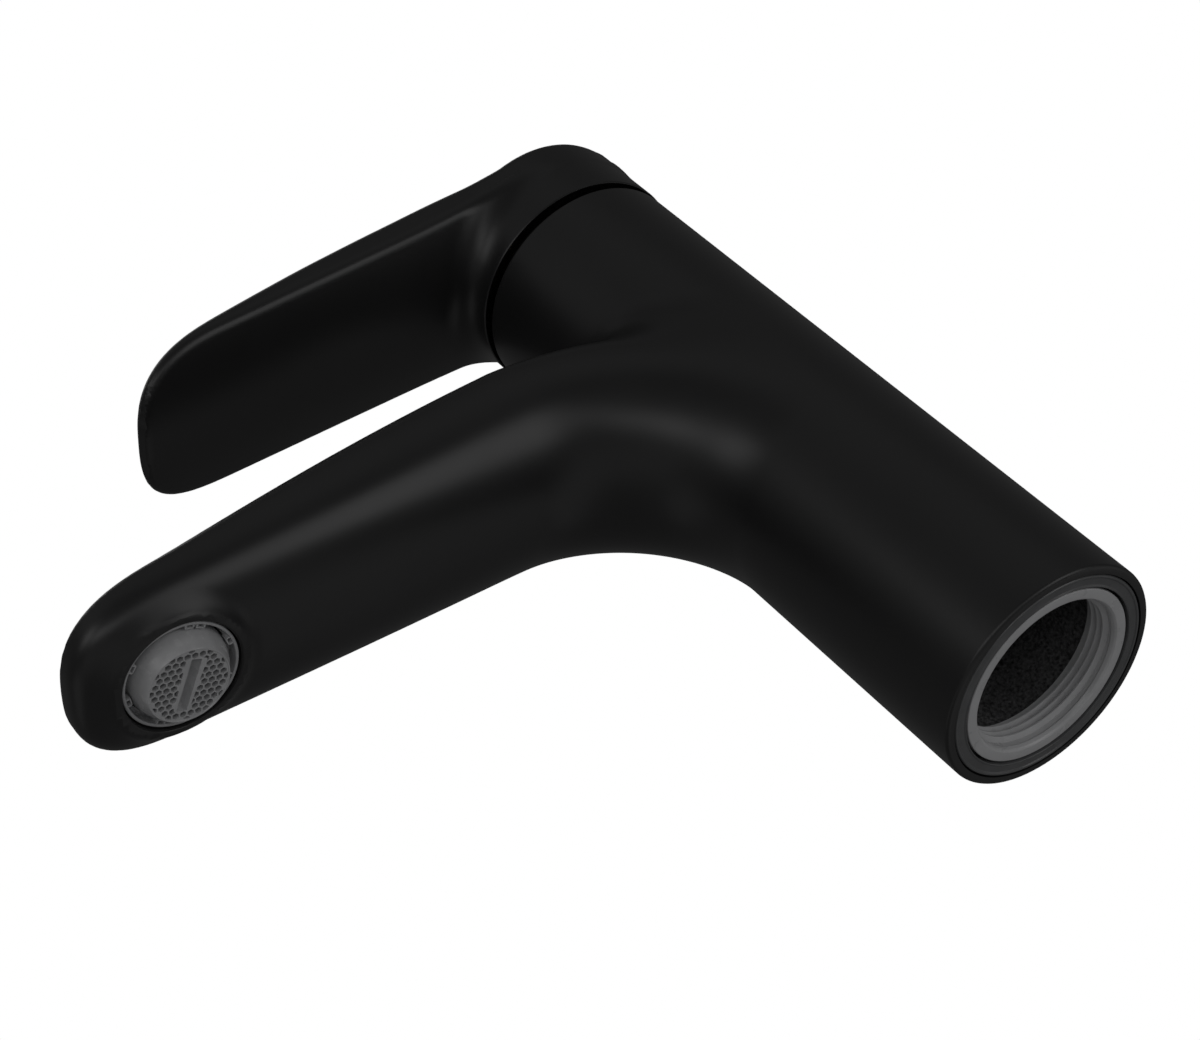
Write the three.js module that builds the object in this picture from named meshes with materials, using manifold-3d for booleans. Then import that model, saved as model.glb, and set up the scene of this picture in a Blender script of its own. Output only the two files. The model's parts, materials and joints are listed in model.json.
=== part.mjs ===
// Single-lever basin mixer: a cylindrical body with a cast spout, a lever that lifts and swings on a
// ceramic-disc cartridge, and a swivelling concealed aerator. Millimetres, +Z up. The origin is the
// centre of the base plane; the spout and the lever point along -Y; X = 0 is the plane of symmetry.
import * as THREE from 'three';
import { mergeVertices } from 'three/addons/utils/BufferGeometryUtils.js';
import Module from 'manifold-3d';

const wasm = await Module();
wasm.setup();

// ---- driving dimensions -------------------------------------------------------------------------

const GAP = 0.3; // running clearance between neighbouring pieces
const ROUND = 36; // segments round a large diameter
const SMALL_ROUND = 16; // segments round a small diameter

const BODY = {
  radius: 23,
  height: 141.1,
  baseEdge: 0.7,
  topEdge: 0.4,
  floorBottom: 84,
  floorTop: 98,
  cavityRadius: 17.4,
};

const BASE = {
  sealOuter: 21.1,
  sealInner: 18.5,
  sealHeight: 2.9,
  ringOuter: 18.1,
  ringInner: 14.8,
  ringHeight: 7.6,
  ringRecess: 0.3,
  threadPitch: 1.6,
  threadDepth: 0.9,
};

// The spout is swept from the body: round an elbow below it, then along an arched run to the nose.
const ELBOW = { radius: 26.5, y: -49.2, z: 56.4, steps: 9 };
const SPOUT = {
  rootWidth: 21,
  rootTop: 107.2,
  rootBelly: 16.5,
  tipWidth: 17.7,
  tipBottom: 79.4,
  tipTop: 92.9,
  tipBelly: 9.5,
  topArch: 2.8,
  bottomArch: -0.1,
  noseY: -145,
  noseStartY: -124,
  runSteps: 6,
  noseSteps: 7,
  sides: 32,
};

const AERATOR = {
  y: -126,
  z: 79.4,
  tilt: THREE.MathUtils.degToRad(-2),
  pocketRadius: 11.3,
  pocketDepth: 9.2,
  cageRadius: 11,
  ballRadius: 9.4,
  ballCentre: 3.1,
  ballTop: 5.8,
  cageTop: 7.2,
  strainerRim: 7.4,
  gasketTop: 8.9,
  faceDrop: 2.6,
  faceRadius: 7.3,
  slotTurn: 19,
};

const CHANNEL = { radius: 4.4, fromY: -7.2, fromZ: 92.5, toY: -117, toZ: 86 };

const PORT = { radius: 3.4, inletX: 6.9, inletY: 4.1, outletY: -7.4, hoseRadius: 4.3 };

const CARTRIDGE = {
  bore: 17.7,
  radius: 17.3,
  wall: 1.7,
  top: 126,
  lip: 1.7,
  baseBottom: 98.4,
  baseTop: 102.2,
  neckRadius: 10,
  neckTop: 136.5,
};

const PIVOT_Z = 124;
const REST_TILT = THREE.MathUtils.degToRad(12.5); // the closed lever leans this far forward
const LOWER_ARM = 12.6; // pivot to the ball foot that drives the disc carrier

const NUT = { bore: 19.2, radius: 18.9, inner: 12.5, bottom: 126.3, top: 133 };

const HANDLE = {
  radius: 23.3,
  seamZ: 143,
  topZ: 162.4,
  cavity: 29.9, // spherical underside of the cap, centred on the pivot
  rootWidth: 20.2,
  tipWidth: 18.2,
  flare: 2.4, // extra half width where the lever leaves the cap
  flareEnd: 0.4,
  rootBottom: 152,
  tipBottom: 138.9,
  belly: 5.5,
  endStartY: -80,
  tipY: -102,
  steps: 6,
  endSteps: 6,
  sides: 32,
};

const SPINDLE = { side: 7.4, top: 37, bossRadius: 6.6, bossStart: 26.5 };

const DOME = {
  outer: 28.3,
  wall: 1.5,
  rim: 22.3,
  hole: 13.8,
  skirtOuter: 18.9,
  skirtInner: 17.4,
  skirtBottom: 137,
};

const SCREW = { z: 154.5, radius: 2.2, from: -2.2, to: 6, plugRadius: 3.6, plugFrom: 19.6, plugTo: 22.6 };

// ---- helpers --------------------------------------------------------------------------------------

/** A manifold-3d solid from a closed three.js geometry, turned right side out. */
function solid(geometry) {
  const bare = geometry.index ? geometry.toNonIndexed() : geometry.clone();
  bare.deleteAttribute('normal');
  bare.deleteAttribute('uv');
  const merged = mergeVertices(bare, 1e-4);
  const triVerts = new Uint32Array(merged.index.array);
  const vertProperties = merged.attributes.position.array;
  const made = new wasm.Manifold(new wasm.Mesh({ numProp: 3, vertProperties, triVerts }));
  if (made.volume() > 0) return made;
  for (let i = 0; i < triVerts.length; i += 3) {
    [triVerts[i + 1], triVerts[i + 2]] = [triVerts[i + 2], triVerts[i + 1]];
  }
  return new wasm.Manifold(new wasm.Mesh({ numProp: 3, vertProperties, triVerts }));
}

/** A three.js geometry from a manifold-3d solid. */
function geometryOf(made) {
  const mesh = made.getMesh();
  const geometry = new THREE.BufferGeometry();
  geometry.setAttribute('position', new THREE.BufferAttribute(mesh.vertProperties, 3));
  geometry.setIndex(new THREE.BufferAttribute(mesh.triVerts, 1));
  geometry.computeVertexNormals();
  return geometry;
}

/** A solid moved and turned by a three.js matrix. */
function moved(geometry, matrix) {
  return solid(geometry.clone().applyMatrix4(matrix));
}

/** A lathe about +Z from [radius, z] points. */
function lathe(points, segments = ROUND) {
  const profile = points.map(([r, z]) => new THREE.Vector2(r, z));
  return new THREE.LatheGeometry(profile, segments).rotateX(Math.PI / 2);
}

/** A closed ring with a rectangular section, about +Z. */
function ring(outer, inner, bottom, top, segments = ROUND) {
  return lathe([[inner, bottom], [outer, bottom], [outer, top], [inner, top], [inner, bottom]], segments);
}

/** A disc or rod along +Z, centred on x, y. */
function rod(radius, bottom, top, x = 0, y = 0, segments = SMALL_ROUND) {
  const geometry = new THREE.CylinderGeometry(radius, radius, top - bottom, segments);
  return geometry.rotateX(Math.PI / 2).translate(x, y, (top + bottom) / 2);
}

/** A rod between two points. */
function rodBetween(a, b, radius, segments = SMALL_ROUND) {
  const axis = new THREE.Vector3().subVectors(b, a);
  const geometry = new THREE.CylinderGeometry(radius, radius, axis.length(), segments);
  const up = new THREE.Vector3(0, 1, 0);
  const turn = new THREE.Quaternion().setFromUnitVectors(up, axis.clone().normalize());
  return geometry.applyQuaternion(turn).translate((a.x + b.x) / 2, (a.y + b.y) / 2, (a.z + b.z) / 2);
}

/** A box with its centre at x, y, z. */
function block(width, depth, height, x, y, z) {
  return new THREE.BoxGeometry(width, depth, height).translate(x, y, z);
}

/** Points of an arc in the r-z plane, from one angle to another, in degrees from +r. */
function arc(centreZ, radius, from, to, steps) {
  const points = [];
  for (let i = 0; i <= steps; i++) {
    const angle = THREE.MathUtils.degToRad(from + ((to - from) * i) / steps);
    points.push([radius * Math.cos(angle), centreZ + radius * Math.sin(angle)]);
  }
  return points;
}

/** The angle, in degrees, at which a circle about the axis passes a given radius. */
const arcAngle = (radius, at) => THREE.MathUtils.radToDeg(Math.acos(at / radius));

const lerp = THREE.MathUtils.lerp;

/** Rounding error cleared from a sine or cosine, so that a ring's first and last points meet. */
const zeroed = (value) => (Math.abs(value) < 1e-6 ? 0 : value);

const steel = (color, roughness, metalness) =>
  new THREE.MeshStandardMaterial({ color, roughness, metalness });
const MATERIALS = {
  black: steel(0x1d1d1d, 0.45, 0.3),
  blackPlastic: steel(0x101010, 0.6, 0),
  seal: steel(0x3c3c3c, 0.55, 0),
  ring: steel(0x6a6a6a, 0.5, 0),
  aerator: steel(0x777777, 0.5, 0),
  ceramic: steel(0xe8e6df, 0.3, 0),
  whitePlastic: steel(0xd9dadb, 0.5, 0),
  greyPlastic: steel(0x8c9196, 0.5, 0),
  rubber: steel(0x161616, 0.8, 0),
  brass: steel(0xb59a55, 0.35, 1),
  stainless: steel(0xa9adb0, 0.35, 1),
  indicator: steel(0x9aa0a6, 0.4, 0),
};

const root = new THREE.Group();

/** Adds one named piece to a group, by default the object's own. */
function piece(name, made, material, group = root) {
  const mesh = new THREE.Mesh(geometryOf(made), material);
  mesh.name = name;
  group.add(mesh);
}

// ---- body and spout -------------------------------------------------------------------------------

/**
 * A point of a section that lies across a run: `bottom` is its lowest middle point and `up` points to its
 * top. Its lower half is a superellipse of depth `belly`, and its upper half fills the rest.
 */
function section(angle, { bottom, up, width, height, belly, lowerPower, upperPower }) {
  const [c, s] = [zeroed(Math.cos(angle)), zeroed(Math.sin(angle))];
  const power = s < 0 ? lowerPower : upperPower;
  const reach = s < 0 ? belly : height - belly;
  const across = Math.sign(c) * width * Math.abs(c) ** (2 / power);
  const along = belly + Math.sign(s) * reach * Math.abs(s) ** (2 / power);
  return bottom.clone().addScaledVector(up, along).setX(across);
}

/** Section values at the elbow: it turns from the body's own circle into the spout's root section. */
function elbowStation(turn) {
  const angle = (turn * Math.PI) / 2;
  const up = new THREE.Vector3(0, Math.cos(angle), Math.sin(angle));
  const inner = new THREE.Vector3(0, ELBOW.y, ELBOW.z).addScaledVector(up, ELBOW.radius);
  const round = BODY.radius - 2 * GAP;
  const eased = turn * turn * (3 - 2 * turn);
  return {
    bottom: inner,
    up,
    width: lerp(round, SPOUT.rootWidth, eased),
    height: lerp(2 * round, SPOUT.rootTop - ELBOW.z - ELBOW.radius, eased),
    belly: lerp(round, SPOUT.rootBelly, eased),
    lowerPower: lerp(2, 2.15, eased),
    upperPower: lerp(2, 2.8, eased),
  };
}

/** Section values along the run from the elbow, 0 at the root and 1 at the aerator. */
function runStation(y) {
  const t = (y - ELBOW.y) / (AERATOR.y - ELBOW.y);
  const arch = Math.max(0, 4 * t * (1 - t));
  const bottomZ = lerp(ELBOW.z + ELBOW.radius, SPOUT.tipBottom, t) + SPOUT.bottomArch * arch;
  const topZ = lerp(SPOUT.rootTop, SPOUT.tipTop, t) + SPOUT.topArch * arch;
  const belly = lerp(SPOUT.rootBelly, SPOUT.tipBelly, Math.min(t, 1));
  return {
    bottom: new THREE.Vector3(0, y, bottomZ),
    up: new THREE.Vector3(0, 0, 1),
    width: lerp(SPOUT.rootWidth, SPOUT.tipWidth, t),
    height: topZ - bottomZ,
    belly,
    lowerPower: lerp(2.15, 2.8, t),
    upperPower: lerp(2.8, 2.3, t),
  };
}

/** Section values over the nose, which closes like a blunt ellipse in plan and blunter still in height. */
function noseStation(step) {
  const t = Math.sin((step * Math.PI) / 2);
  const y = lerp(SPOUT.noseStartY, SPOUT.noseY, t);
  const station = runStation(y);
  const plan = (1 - t ** 2.7) ** (1 / 2.7);
  const thick = (1 - t ** 3.4) ** (1 / 3.4);
  const lift = station.belly * (1 - thick);
  station.bottom.z += lift;
  station.width *= plan;
  station.height *= thick;
  station.belly *= thick;
  return station;
}

/** A closed sweep through stations, as a cylinder geometry whose rings take the stations' sections. */
function sweep(stations, sides) {
  const steps = stations.length - 1;
  const geometry = new THREE.CylinderGeometry(1, 1, 1, sides, steps);
  const position = geometry.attributes.position;
  for (let i = 0; i < position.count; i++) {
    const [x, y, z] = [position.getX(i), position.getY(i), position.getZ(i)];
    const station = stations[Math.round((y + 0.5) * steps)];
    const middle = station.bottom.clone().addScaledVector(station.up, station.belly);
    const onAxis = Math.hypot(x, z) < 0.5;
    const point = onAxis ? middle : section(Math.atan2(z, x), station);
    position.setXYZ(i, point.x, point.y, point.z);
  }
  return geometry;
}

/** The spout's outside, from inside the body, round the elbow and out to the nose. */
function spoutGeometry() {
  const stations = [];
  for (let i = 0; i < ELBOW.steps; i++) stations.push(elbowStation(i / ELBOW.steps));
  for (let i = 0; i < SPOUT.runSteps; i++) {
    stations.push(runStation(lerp(ELBOW.y, SPOUT.noseStartY, i / SPOUT.runSteps)));
  }
  for (let i = 0; i <= SPOUT.noseSteps; i++) stations.push(noseStation((0.985 * i) / SPOUT.noseSteps));
  return sweep(stations, SPOUT.sides);
}

/** The aerator's own frame: at the mouth of its pocket, with +Z into the spout. */
const aeratorFrame = new THREE.Matrix4()
  .makeRotationX(AERATOR.tilt)
  .setPosition(0, AERATOR.y, AERATOR.z);

const ports = [
  { name: 'hot', x: -PORT.inletX, y: PORT.inletY },
  { name: 'cold', x: PORT.inletX, y: PORT.inletY },
  { name: 'outlet', x: 0, y: PORT.outletY },
];

function bodyShell() {
  const { radius, height, baseEdge, topEdge, floorBottom, floorTop, cavityRadius } = BODY;
  const column = lathe([
    [0, 0], [radius - baseEdge, 0], [radius - 0.3 * baseEdge, 0.3 * baseEdge], [radius, baseEdge],
    [radius, height - topEdge], [radius - topEdge, height], [0, height],
  ]);
  let body = solid(column).add(solid(spoutGeometry()));
  const base = lathe([
    [0, -1], [BASE.sealOuter + 0.2, -1], [BASE.sealOuter + 0.2, BASE.sealHeight + GAP],
    [BASE.ringOuter + GAP, BASE.sealHeight + GAP], [BASE.ringOuter + GAP, BASE.ringHeight + 2 * GAP],
    [cavityRadius, BASE.ringHeight + 2 * GAP], [cavityRadius, floorBottom], [0, floorBottom],
  ]);
  const chamber = lathe([
    [0, floorTop], [CARTRIDGE.bore, floorTop], [CARTRIDGE.bore, CARTRIDGE.top],
    [NUT.bore, CARTRIDGE.top], [NUT.bore, height + 1], [0, height + 1],
  ]);
  body = body.subtract(solid(base)).subtract(solid(chamber));
  for (const port of ports.slice(0, 2)) {
    body = body.subtract(solid(rod(PORT.hoseRadius, floorBottom - 1, floorTop + 1, port.x, port.y)));
  }
  const outlet = new THREE.Vector3(0, CHANNEL.fromY, CHANNEL.fromZ);
  const mouth = new THREE.Vector3(0, CHANNEL.toY, CHANNEL.toZ);
  body = body.subtract(solid(rod(PORT.radius, CHANNEL.fromZ, floorTop + 1, 0, PORT.outletY)));
  body = body.subtract(solid(rodBetween(outlet, mouth, CHANNEL.radius)));
  const pocket = rod(AERATOR.pocketRadius, -3, AERATOR.pocketDepth, 0, 0, ROUND);
  return body.subtract(moved(pocket, aeratorFrame));
}

// ---- base -----------------------------------------------------------------------------------------

/** The threaded ring that the fixing sleeve screws into, with its thread as stacked grooves. */
function threadRing() {
  const bottom = BASE.ringRecess;
  const points = [
    [BASE.ringInner + 0.4, bottom],
    [BASE.ringOuter, bottom],
    [BASE.ringOuter, BASE.ringHeight],
  ];
  points.push([BASE.ringInner, BASE.ringHeight]);
  const turns = Math.floor((BASE.ringHeight - bottom - 1) / BASE.threadPitch);
  for (let i = 0; i < turns; i++) {
    const z = BASE.ringHeight - 0.8 - i * BASE.threadPitch;
    points.push([BASE.ringInner, z], [BASE.ringInner + BASE.threadDepth, z - 0.45 * BASE.threadPitch]);
    points.push([BASE.ringInner, z - 0.85 * BASE.threadPitch]);
  }
  points.push([BASE.ringInner, bottom + 0.4], points[0]);
  return solid(lathe(points));
}

function baseSeal() {
  const { sealOuter, sealInner, sealHeight } = BASE;
  return solid(lathe([
    [sealInner, 0.3], [sealInner + 0.3, 0], [sealOuter - 0.3, 0], [sealOuter, 0.3],
    [sealOuter, sealHeight], [sealInner, sealHeight], [sealInner, 0.3],
  ]));
}

// ---- cartridge ------------------------------------------------------------------------------------

const shaft = (x, y, bottom, top, radius) => solid(rod(radius, bottom, top, x, y));

function drilled(made, bottom, top, radius) {
  return ports.reduce((rest, port) => rest.subtract(shaft(port.x, port.y, bottom, top, radius)), made);
}

function cartridgeBase() {
  const { radius, baseBottom, baseTop } = CARTRIDGE;
  const blank = solid(rod(radius, baseBottom, baseTop, 0, 0, ROUND));
  const disc = drilled(blank, baseBottom - 1, baseTop + 1, PORT.radius);
  return drilled(disc, baseBottom - 1, baseBottom + 1.8, 5.9);
}

/** A rubber ring that seals one port of the cartridge to the body's floor. */
function portSeal(port) {
  const wire = 0.85;
  const torus = new THREE.TorusGeometry(4.7, wire, 8, SMALL_ROUND);
  return solid(torus.translate(port.x, port.y, BODY.floorTop + GAP / 2 + wire));
}

function cartridgeHousing() {
  const { radius, wall, top, lip, baseTop, neckRadius } = CARTRIDGE;
  const inner = radius - wall;
  const bottom = baseTop + GAP;
  const mouth = neckRadius + 0.4;
  return solid(lathe([
    [inner, bottom], [radius, bottom], [radius, top], [mouth, top], [mouth, top - lip], [inner, top - lip],
    [inner, bottom],
  ]));
}

function fixedDisc() {
  const [bottom, top] = [CARTRIDGE.baseTop + GAP, CARTRIDGE.baseTop + 2.8];
  return drilled(solid(rod(15.2, bottom, top, 0, 0, ROUND)), bottom - 1, top + 1, PORT.radius - 0.3);
}

/** How far the ball foot, and so the moving disc, stands behind the axis when the lever is down. */
const discOffset = LOWER_ARM * Math.sin(REST_TILT);

function movingDisc() {
  const disc = solid(rod(11.2, 105.3, 107.9, 0, discOffset, ROUND));
  return disc.subtract(solid(rod(7, 105, 106.7, 0, discOffset - 0.6)));
}

function discCarrier() {
  const disc = solid(rod(11.2, 108.2, 113.2, 0, discOffset, ROUND));
  return disc.subtract(solid(rod(3.6, 107, 114, 0, discOffset)));
}

function rotor() {
  const { radius, wall, top, lip, neckRadius, neckTop } = CARTRIDGE;
  const flange = radius - wall - 0.5;
  const body = solid(lathe([
    [0, 113.6], [flange, 113.6], [flange, top - lip - GAP], [neckRadius, top - lip - GAP],
    [neckRadius, neckTop], [0, neckTop],
  ]));
  const slot = block(SPINDLE.side + 1, 14.4, 40, 0, 0, PIVOT_Z);
  const pinHole = rodBetween(new THREE.Vector3(-9.7, 0, PIVOT_Z), new THREE.Vector3(9.7, 0, PIVOT_Z), 2.05);
  return body.subtract(solid(slot)).subtract(solid(pinHole));
}

function pivotPin() {
  return solid(rodBetween(new THREE.Vector3(-9.4, 0, PIVOT_Z), new THREE.Vector3(9.4, 0, PIVOT_Z), 1.75));
}

/** The notched ring that limits how far the lever swings to hot. */
function limitRing() {
  const [bottom, top] = [NUT.top + GAP, NUT.top + 2.4];
  let made = solid(ring(15.4, CARTRIDGE.neckRadius + 0.4, bottom, top));
  const notches = 12;
  for (let i = 0; i < notches; i++) {
    const angle = (i * 2 * Math.PI) / notches;
    const notch = rod(0.8, bottom - 1, top + 1, 15.4 * Math.cos(angle), 15.4 * Math.sin(angle), 8);
    made = made.subtract(solid(notch));
  }
  return made;
}

/** The nut that holds the cartridge down, with a hexagon on top for a spanner. */
function cartridgeNut() {
  const { radius, inner, bottom, top } = NUT;
  const thread = solid(ring(radius, inner, bottom, top - 2.5));
  const hexagon = solid(rod(17.4, top - 3, top, 0, 0, 6)).subtract(solid(rod(inner, top - 4, top + 1)));
  return thread.add(hexagon);
}

/** The domed cover under the handle: a band of a sphere about the pivot, with a skirt inside the body. */
function domeCover() {
  const { outer, wall, rim, hole, skirtOuter, skirtInner, skirtBottom } = DOME;
  const inner = outer - wall;
  const above = arc(PIVOT_Z, outer, arcAngle(outer, rim), arcAngle(outer, hole), 5);
  const below = arc(PIVOT_Z, inner, arcAngle(inner, hole), arcAngle(inner, skirtInner), 3);
  const rimBottom = BODY.height + GAP;
  return solid(lathe([
    ...above, ...below, [skirtInner, skirtBottom], [skirtOuter, skirtBottom], [skirtOuter, rimBottom],
    [rim, rimBottom], above[0],
  ]));
}

// ---- lever ----------------------------------------------------------------------------------------

/** The lever's own frame: at the pivot, with +Z along the spindle, leaning forward when closed. */
const leverFrame = new THREE.Matrix4().makeRotationX(REST_TILT).setPosition(0, 0, PIVOT_Z);

/** Section values of the lever, 0 at the cap's axis and 1 at the tip. */
function leverStation(y) {
  const t = y / HANDLE.tipY;
  const flare = Math.max(0, 1 - t / HANDLE.flareEnd) ** 2;
  const bottomZ = lerp(HANDLE.rootBottom, HANDLE.tipBottom, t);
  return {
    bottom: new THREE.Vector3(0, y, bottomZ),
    up: new THREE.Vector3(0, 0, 1),
    width: lerp(HANDLE.rootWidth, HANDLE.tipWidth, t) + HANDLE.flare * flare,
    height: HANDLE.topZ + 6 - bottomZ,
    belly: HANDLE.belly,
    lowerPower: 3,
    upperPower: 12,
  };
}

/** Section values over the lever's rounded end. */
function leverEndStation(step) {
  const t = Math.sin((step * Math.PI) / 2);
  const station = leverStation(lerp(HANDLE.endStartY, HANDLE.tipY, t));
  station.width *= (1 - t ** 2.9) ** (1 / 2.9);
  return station;
}

function leverGeometry() {
  const stations = [];
  for (let i = 0; i < HANDLE.steps; i++) {
    stations.push(leverStation(lerp(0, HANDLE.endStartY, i / HANDLE.steps)));
  }
  for (let i = 0; i <= HANDLE.endSteps; i++) stations.push(leverEndStation((0.97 * i) / HANDLE.endSteps));
  return sweep(stations, HANDLE.sides);
}

/** The handle's top seen from the side: y runs along the shape's x, z along its y. */
function handleTop() {
  const { radius, seamZ, topZ, tipY } = HANDLE;
  const back = radius + 1;
  const shape = new THREE.Shape();
  shape.moveTo(back, seamZ - 8);
  shape.lineTo(tipY - 1, seamZ - 8);
  shape.lineTo(tipY - 0.2, seamZ - 1);
  shape.quadraticCurveTo(tipY + 2, seamZ + 1.6, tipY + 13, seamZ + 3.5);
  shape.bezierCurveTo(-62, seamZ + 9.9, -30, seamZ + 15.4, -2, topZ - 1);
  shape.quadraticCurveTo(12, topZ + 0.4, back - 4, topZ - 1);
  shape.quadraticCurveTo(back - 1, topZ - 1.8, back, topZ - 6);
  return new THREE.ExtrudeGeometry(shape, { depth: 60, bevelEnabled: false, curveSegments: 8 })
    .applyMatrix4(new THREE.Matrix4().makeBasis(
      new THREE.Vector3(0, 1, 0), new THREE.Vector3(0, 0, 1), new THREE.Vector3(1, 0, 0),
    ))
    .translate(-30, 0, 0);
}

function handle() {
  const { radius, seamZ, topZ, cavity } = HANDLE;
  const ball = new THREE.SphereGeometry(cavity, ROUND, 14).rotateX(Math.PI / 2).translate(0, 0, PIVOT_Z);
  const boss = rod(SPINDLE.bossRadius, SPINDLE.bossStart, cavity + 2);
  const socketSide = SPINDLE.side + 0.5;
  const socket = block(socketSide, socketSide, SPINDLE.top + 0.4, 0, 0, (SPINDLE.top + 0.4) / 2);
  const rear = new THREE.Vector3(0, radius + 5, SCREW.z);
  const screwPath = rodBetween(rear.clone().setY(-5), rear, SCREW.radius + GAP);
  const plugSeat = rodBetween(rear.clone().setY(SCREW.plugFrom - GAP), rear, SCREW.plugRadius + GAP);
  return solid(rod(radius, seamZ, topZ + 2, 0, 0, ROUND))
    .add(solid(leverGeometry()))
    .intersect(solid(handleTop()))
    .subtract(solid(ball))
    .add(moved(boss, leverFrame))
    .subtract(moved(socket, leverFrame))
    .subtract(solid(screwPath))
    .subtract(solid(plugSeat));
}

function spindle() {
  const { side, top } = SPINDLE;
  const square = block(side, side, top + 3, 0, 0, (top - 3) / 2);
  const arm = rod(2.9, -LOWER_ARM, 0);
  const foot = new THREE.SphereGeometry(3.2, SMALL_ROUND, 14).translate(0, 0, -LOWER_ARM);
  const pinHole = rodBetween(new THREE.Vector3(-9, 0, 0), new THREE.Vector3(9, 0, 0), 2.05);
  const rough = solid(square).add(solid(arm)).add(solid(foot)).subtract(solid(pinHole));
  return solid(geometryOf(rough).applyMatrix4(leverFrame));
}

function grubScrew() {
  const tip = new THREE.Vector3(0, SCREW.from, SCREW.z);
  const head = new THREE.Vector3(0, SCREW.to, SCREW.z);
  const keyEnd = new THREE.Vector3(0, SCREW.to - 3, SCREW.z);
  const hexagon = rodBetween(keyEnd, head.clone().setY(SCREW.to + 1), 1.3, 6);
  return solid(rodBetween(tip, head, SCREW.radius)).subtract(solid(hexagon));
}

function indicatorPlug() {
  const inner = new THREE.Vector3(0, SCREW.plugFrom, SCREW.z);
  return solid(rodBetween(inner, inner.clone().setY(SCREW.plugTo), SCREW.plugRadius));
}

// ---- aerator --------------------------------------------------------------------------------------

/** The threaded cage: a rim round the mouth, a groove, and a spherical lip that keeps the ball in. */
function aeratorCage() {
  const { cageRadius, cageTop, ballRadius, ballCentre } = AERATOR;
  const seat = arc(ballCentre, ballRadius + GAP, 0, -12, 3);
  const [lip, rim, grooveTop, mouth] = [10, 10.35, 2.6, 0.5];
  return solid(lathe([
    [cageRadius, mouth], [cageRadius, cageTop], [ballRadius + GAP, cageTop], ...seat,
    [lip, seat.at(-1)[1]], [lip, grooveTop], [rim, grooveTop], [rim, mouth], [cageRadius, mouth],
  ]));
}

/** The swivel ball: a hollow band of a sphere, open below for the outlet and above for the water. */
function aeratorBall() {
  const { ballRadius, ballCentre, ballTop, faceDrop, faceRadius } = AERATOR;
  const bottomAngle = -THREE.MathUtils.radToDeg(Math.asin((faceDrop - 0.4 + ballCentre) / ballRadius));
  const topAngle = THREE.MathUtils.radToDeg(Math.asin((ballTop - ballCentre) / ballRadius));
  const outside = arc(ballCentre, ballRadius, bottomAngle, topAngle, 7);
  const inner = faceRadius + GAP;
  return solid(lathe([
    [faceRadius + 0.1, -faceDrop],
    ...outside,
    [inner, ballTop],
    [inner, 1.6],
    [inner, 0],
    [faceRadius + 0.1, -faceDrop],
  ]));
}

/** The outlet face, with the coin slot that turns the aerator in and out. */
function outletFace() {
  const { faceDrop, faceRadius } = AERATOR;
  const disc = solid(rod(faceRadius - 0.2, 0.1 - faceDrop, 0.1, 0, 0, ROUND));
  const slot = block(10.8, 2, 1.6, 0, 0, 0.4 - faceDrop);
  return disc.subtract(solid(slot.rotateZ(THREE.MathUtils.degToRad(AERATOR.slotTurn))));
}

function flowRegulator() {
  return solid(ring(AERATOR.faceRadius, 2.6, 1.7, 3.4));
}

/** The perforated plate that breaks the water into jets. */
function airDiffuser() {
  let plate = solid(rod(AERATOR.faceRadius, 3.8, 5.2, 0, 0, ROUND));
  const holes = 10;
  for (let i = 0; i < holes; i++) {
    const angle = (i * 2 * Math.PI) / holes;
    plate = plate.subtract(solid(rod(0.8, 3, 6, 5 * Math.cos(angle), 5 * Math.sin(angle), 8)));
  }
  return plate;
}

/** The shallow dome of mesh that keeps grit out of the aerator. */
function strainer() {
  const rim = AERATOR.strainerRim;
  return solid(lathe([[0, rim + 0.6], [9.3, rim], [9.3, rim + 0.5], [0, rim + 1.4]], SMALL_ROUND));
}

function aeratorGasket() {
  return solid(ring(AERATOR.cageRadius, 9.7, AERATOR.cageTop + GAP, AERATOR.gasketTop));
}

// ---- assembly -------------------------------------------------------------------------------------

piece('body_shell', bodyShell(), MATERIALS.black);
piece('base_seal', baseSeal(), MATERIALS.seal);
piece('thread_ring', threadRing(), MATERIALS.ring);

piece('cartridge_base', cartridgeBase(), MATERIALS.greyPlastic);
for (const port of ports) piece(port.name + '_seal', portSeal(port), MATERIALS.rubber);
piece('cartridge_housing', cartridgeHousing(), MATERIALS.whitePlastic);
piece('fixed_disc', fixedDisc(), MATERIALS.ceramic);
piece('moving_disc', movingDisc(), MATERIALS.ceramic);
piece('disc_carrier', discCarrier(), MATERIALS.greyPlastic);
piece('rotor', rotor(), MATERIALS.whitePlastic);
piece('pivot_pin', pivotPin(), MATERIALS.stainless);
piece('cartridge_nut', cartridgeNut(), MATERIALS.brass);
piece('limit_ring', limitRing(), MATERIALS.greyPlastic);
piece('dome_cover', domeCover(), MATERIALS.blackPlastic);

piece('spindle', spindle(), MATERIALS.brass);
piece('handle', handle(), MATERIALS.black);
piece('grub_screw', grubScrew(), MATERIALS.stainless);
piece('indicator_plug', indicatorPlug(), MATERIALS.indicator);

const aerator = new THREE.Group();
aerator.applyMatrix4(aeratorFrame);
root.add(aerator);
piece('aerator_cage', aeratorCage(), MATERIALS.aerator, aerator);
piece('aerator_ball', aeratorBall(), MATERIALS.aerator, aerator);
piece('outlet_face', outletFace(), MATERIALS.aerator, aerator);
piece('flow_regulator', flowRegulator(), MATERIALS.greyPlastic, aerator);
piece('air_diffuser', airDiffuser(), MATERIALS.greyPlastic, aerator);
piece('strainer', strainer(), MATERIALS.stainless, aerator);
piece('aerator_gasket', aeratorGasket(), MATERIALS.rubber, aerator);

export default root;
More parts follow.
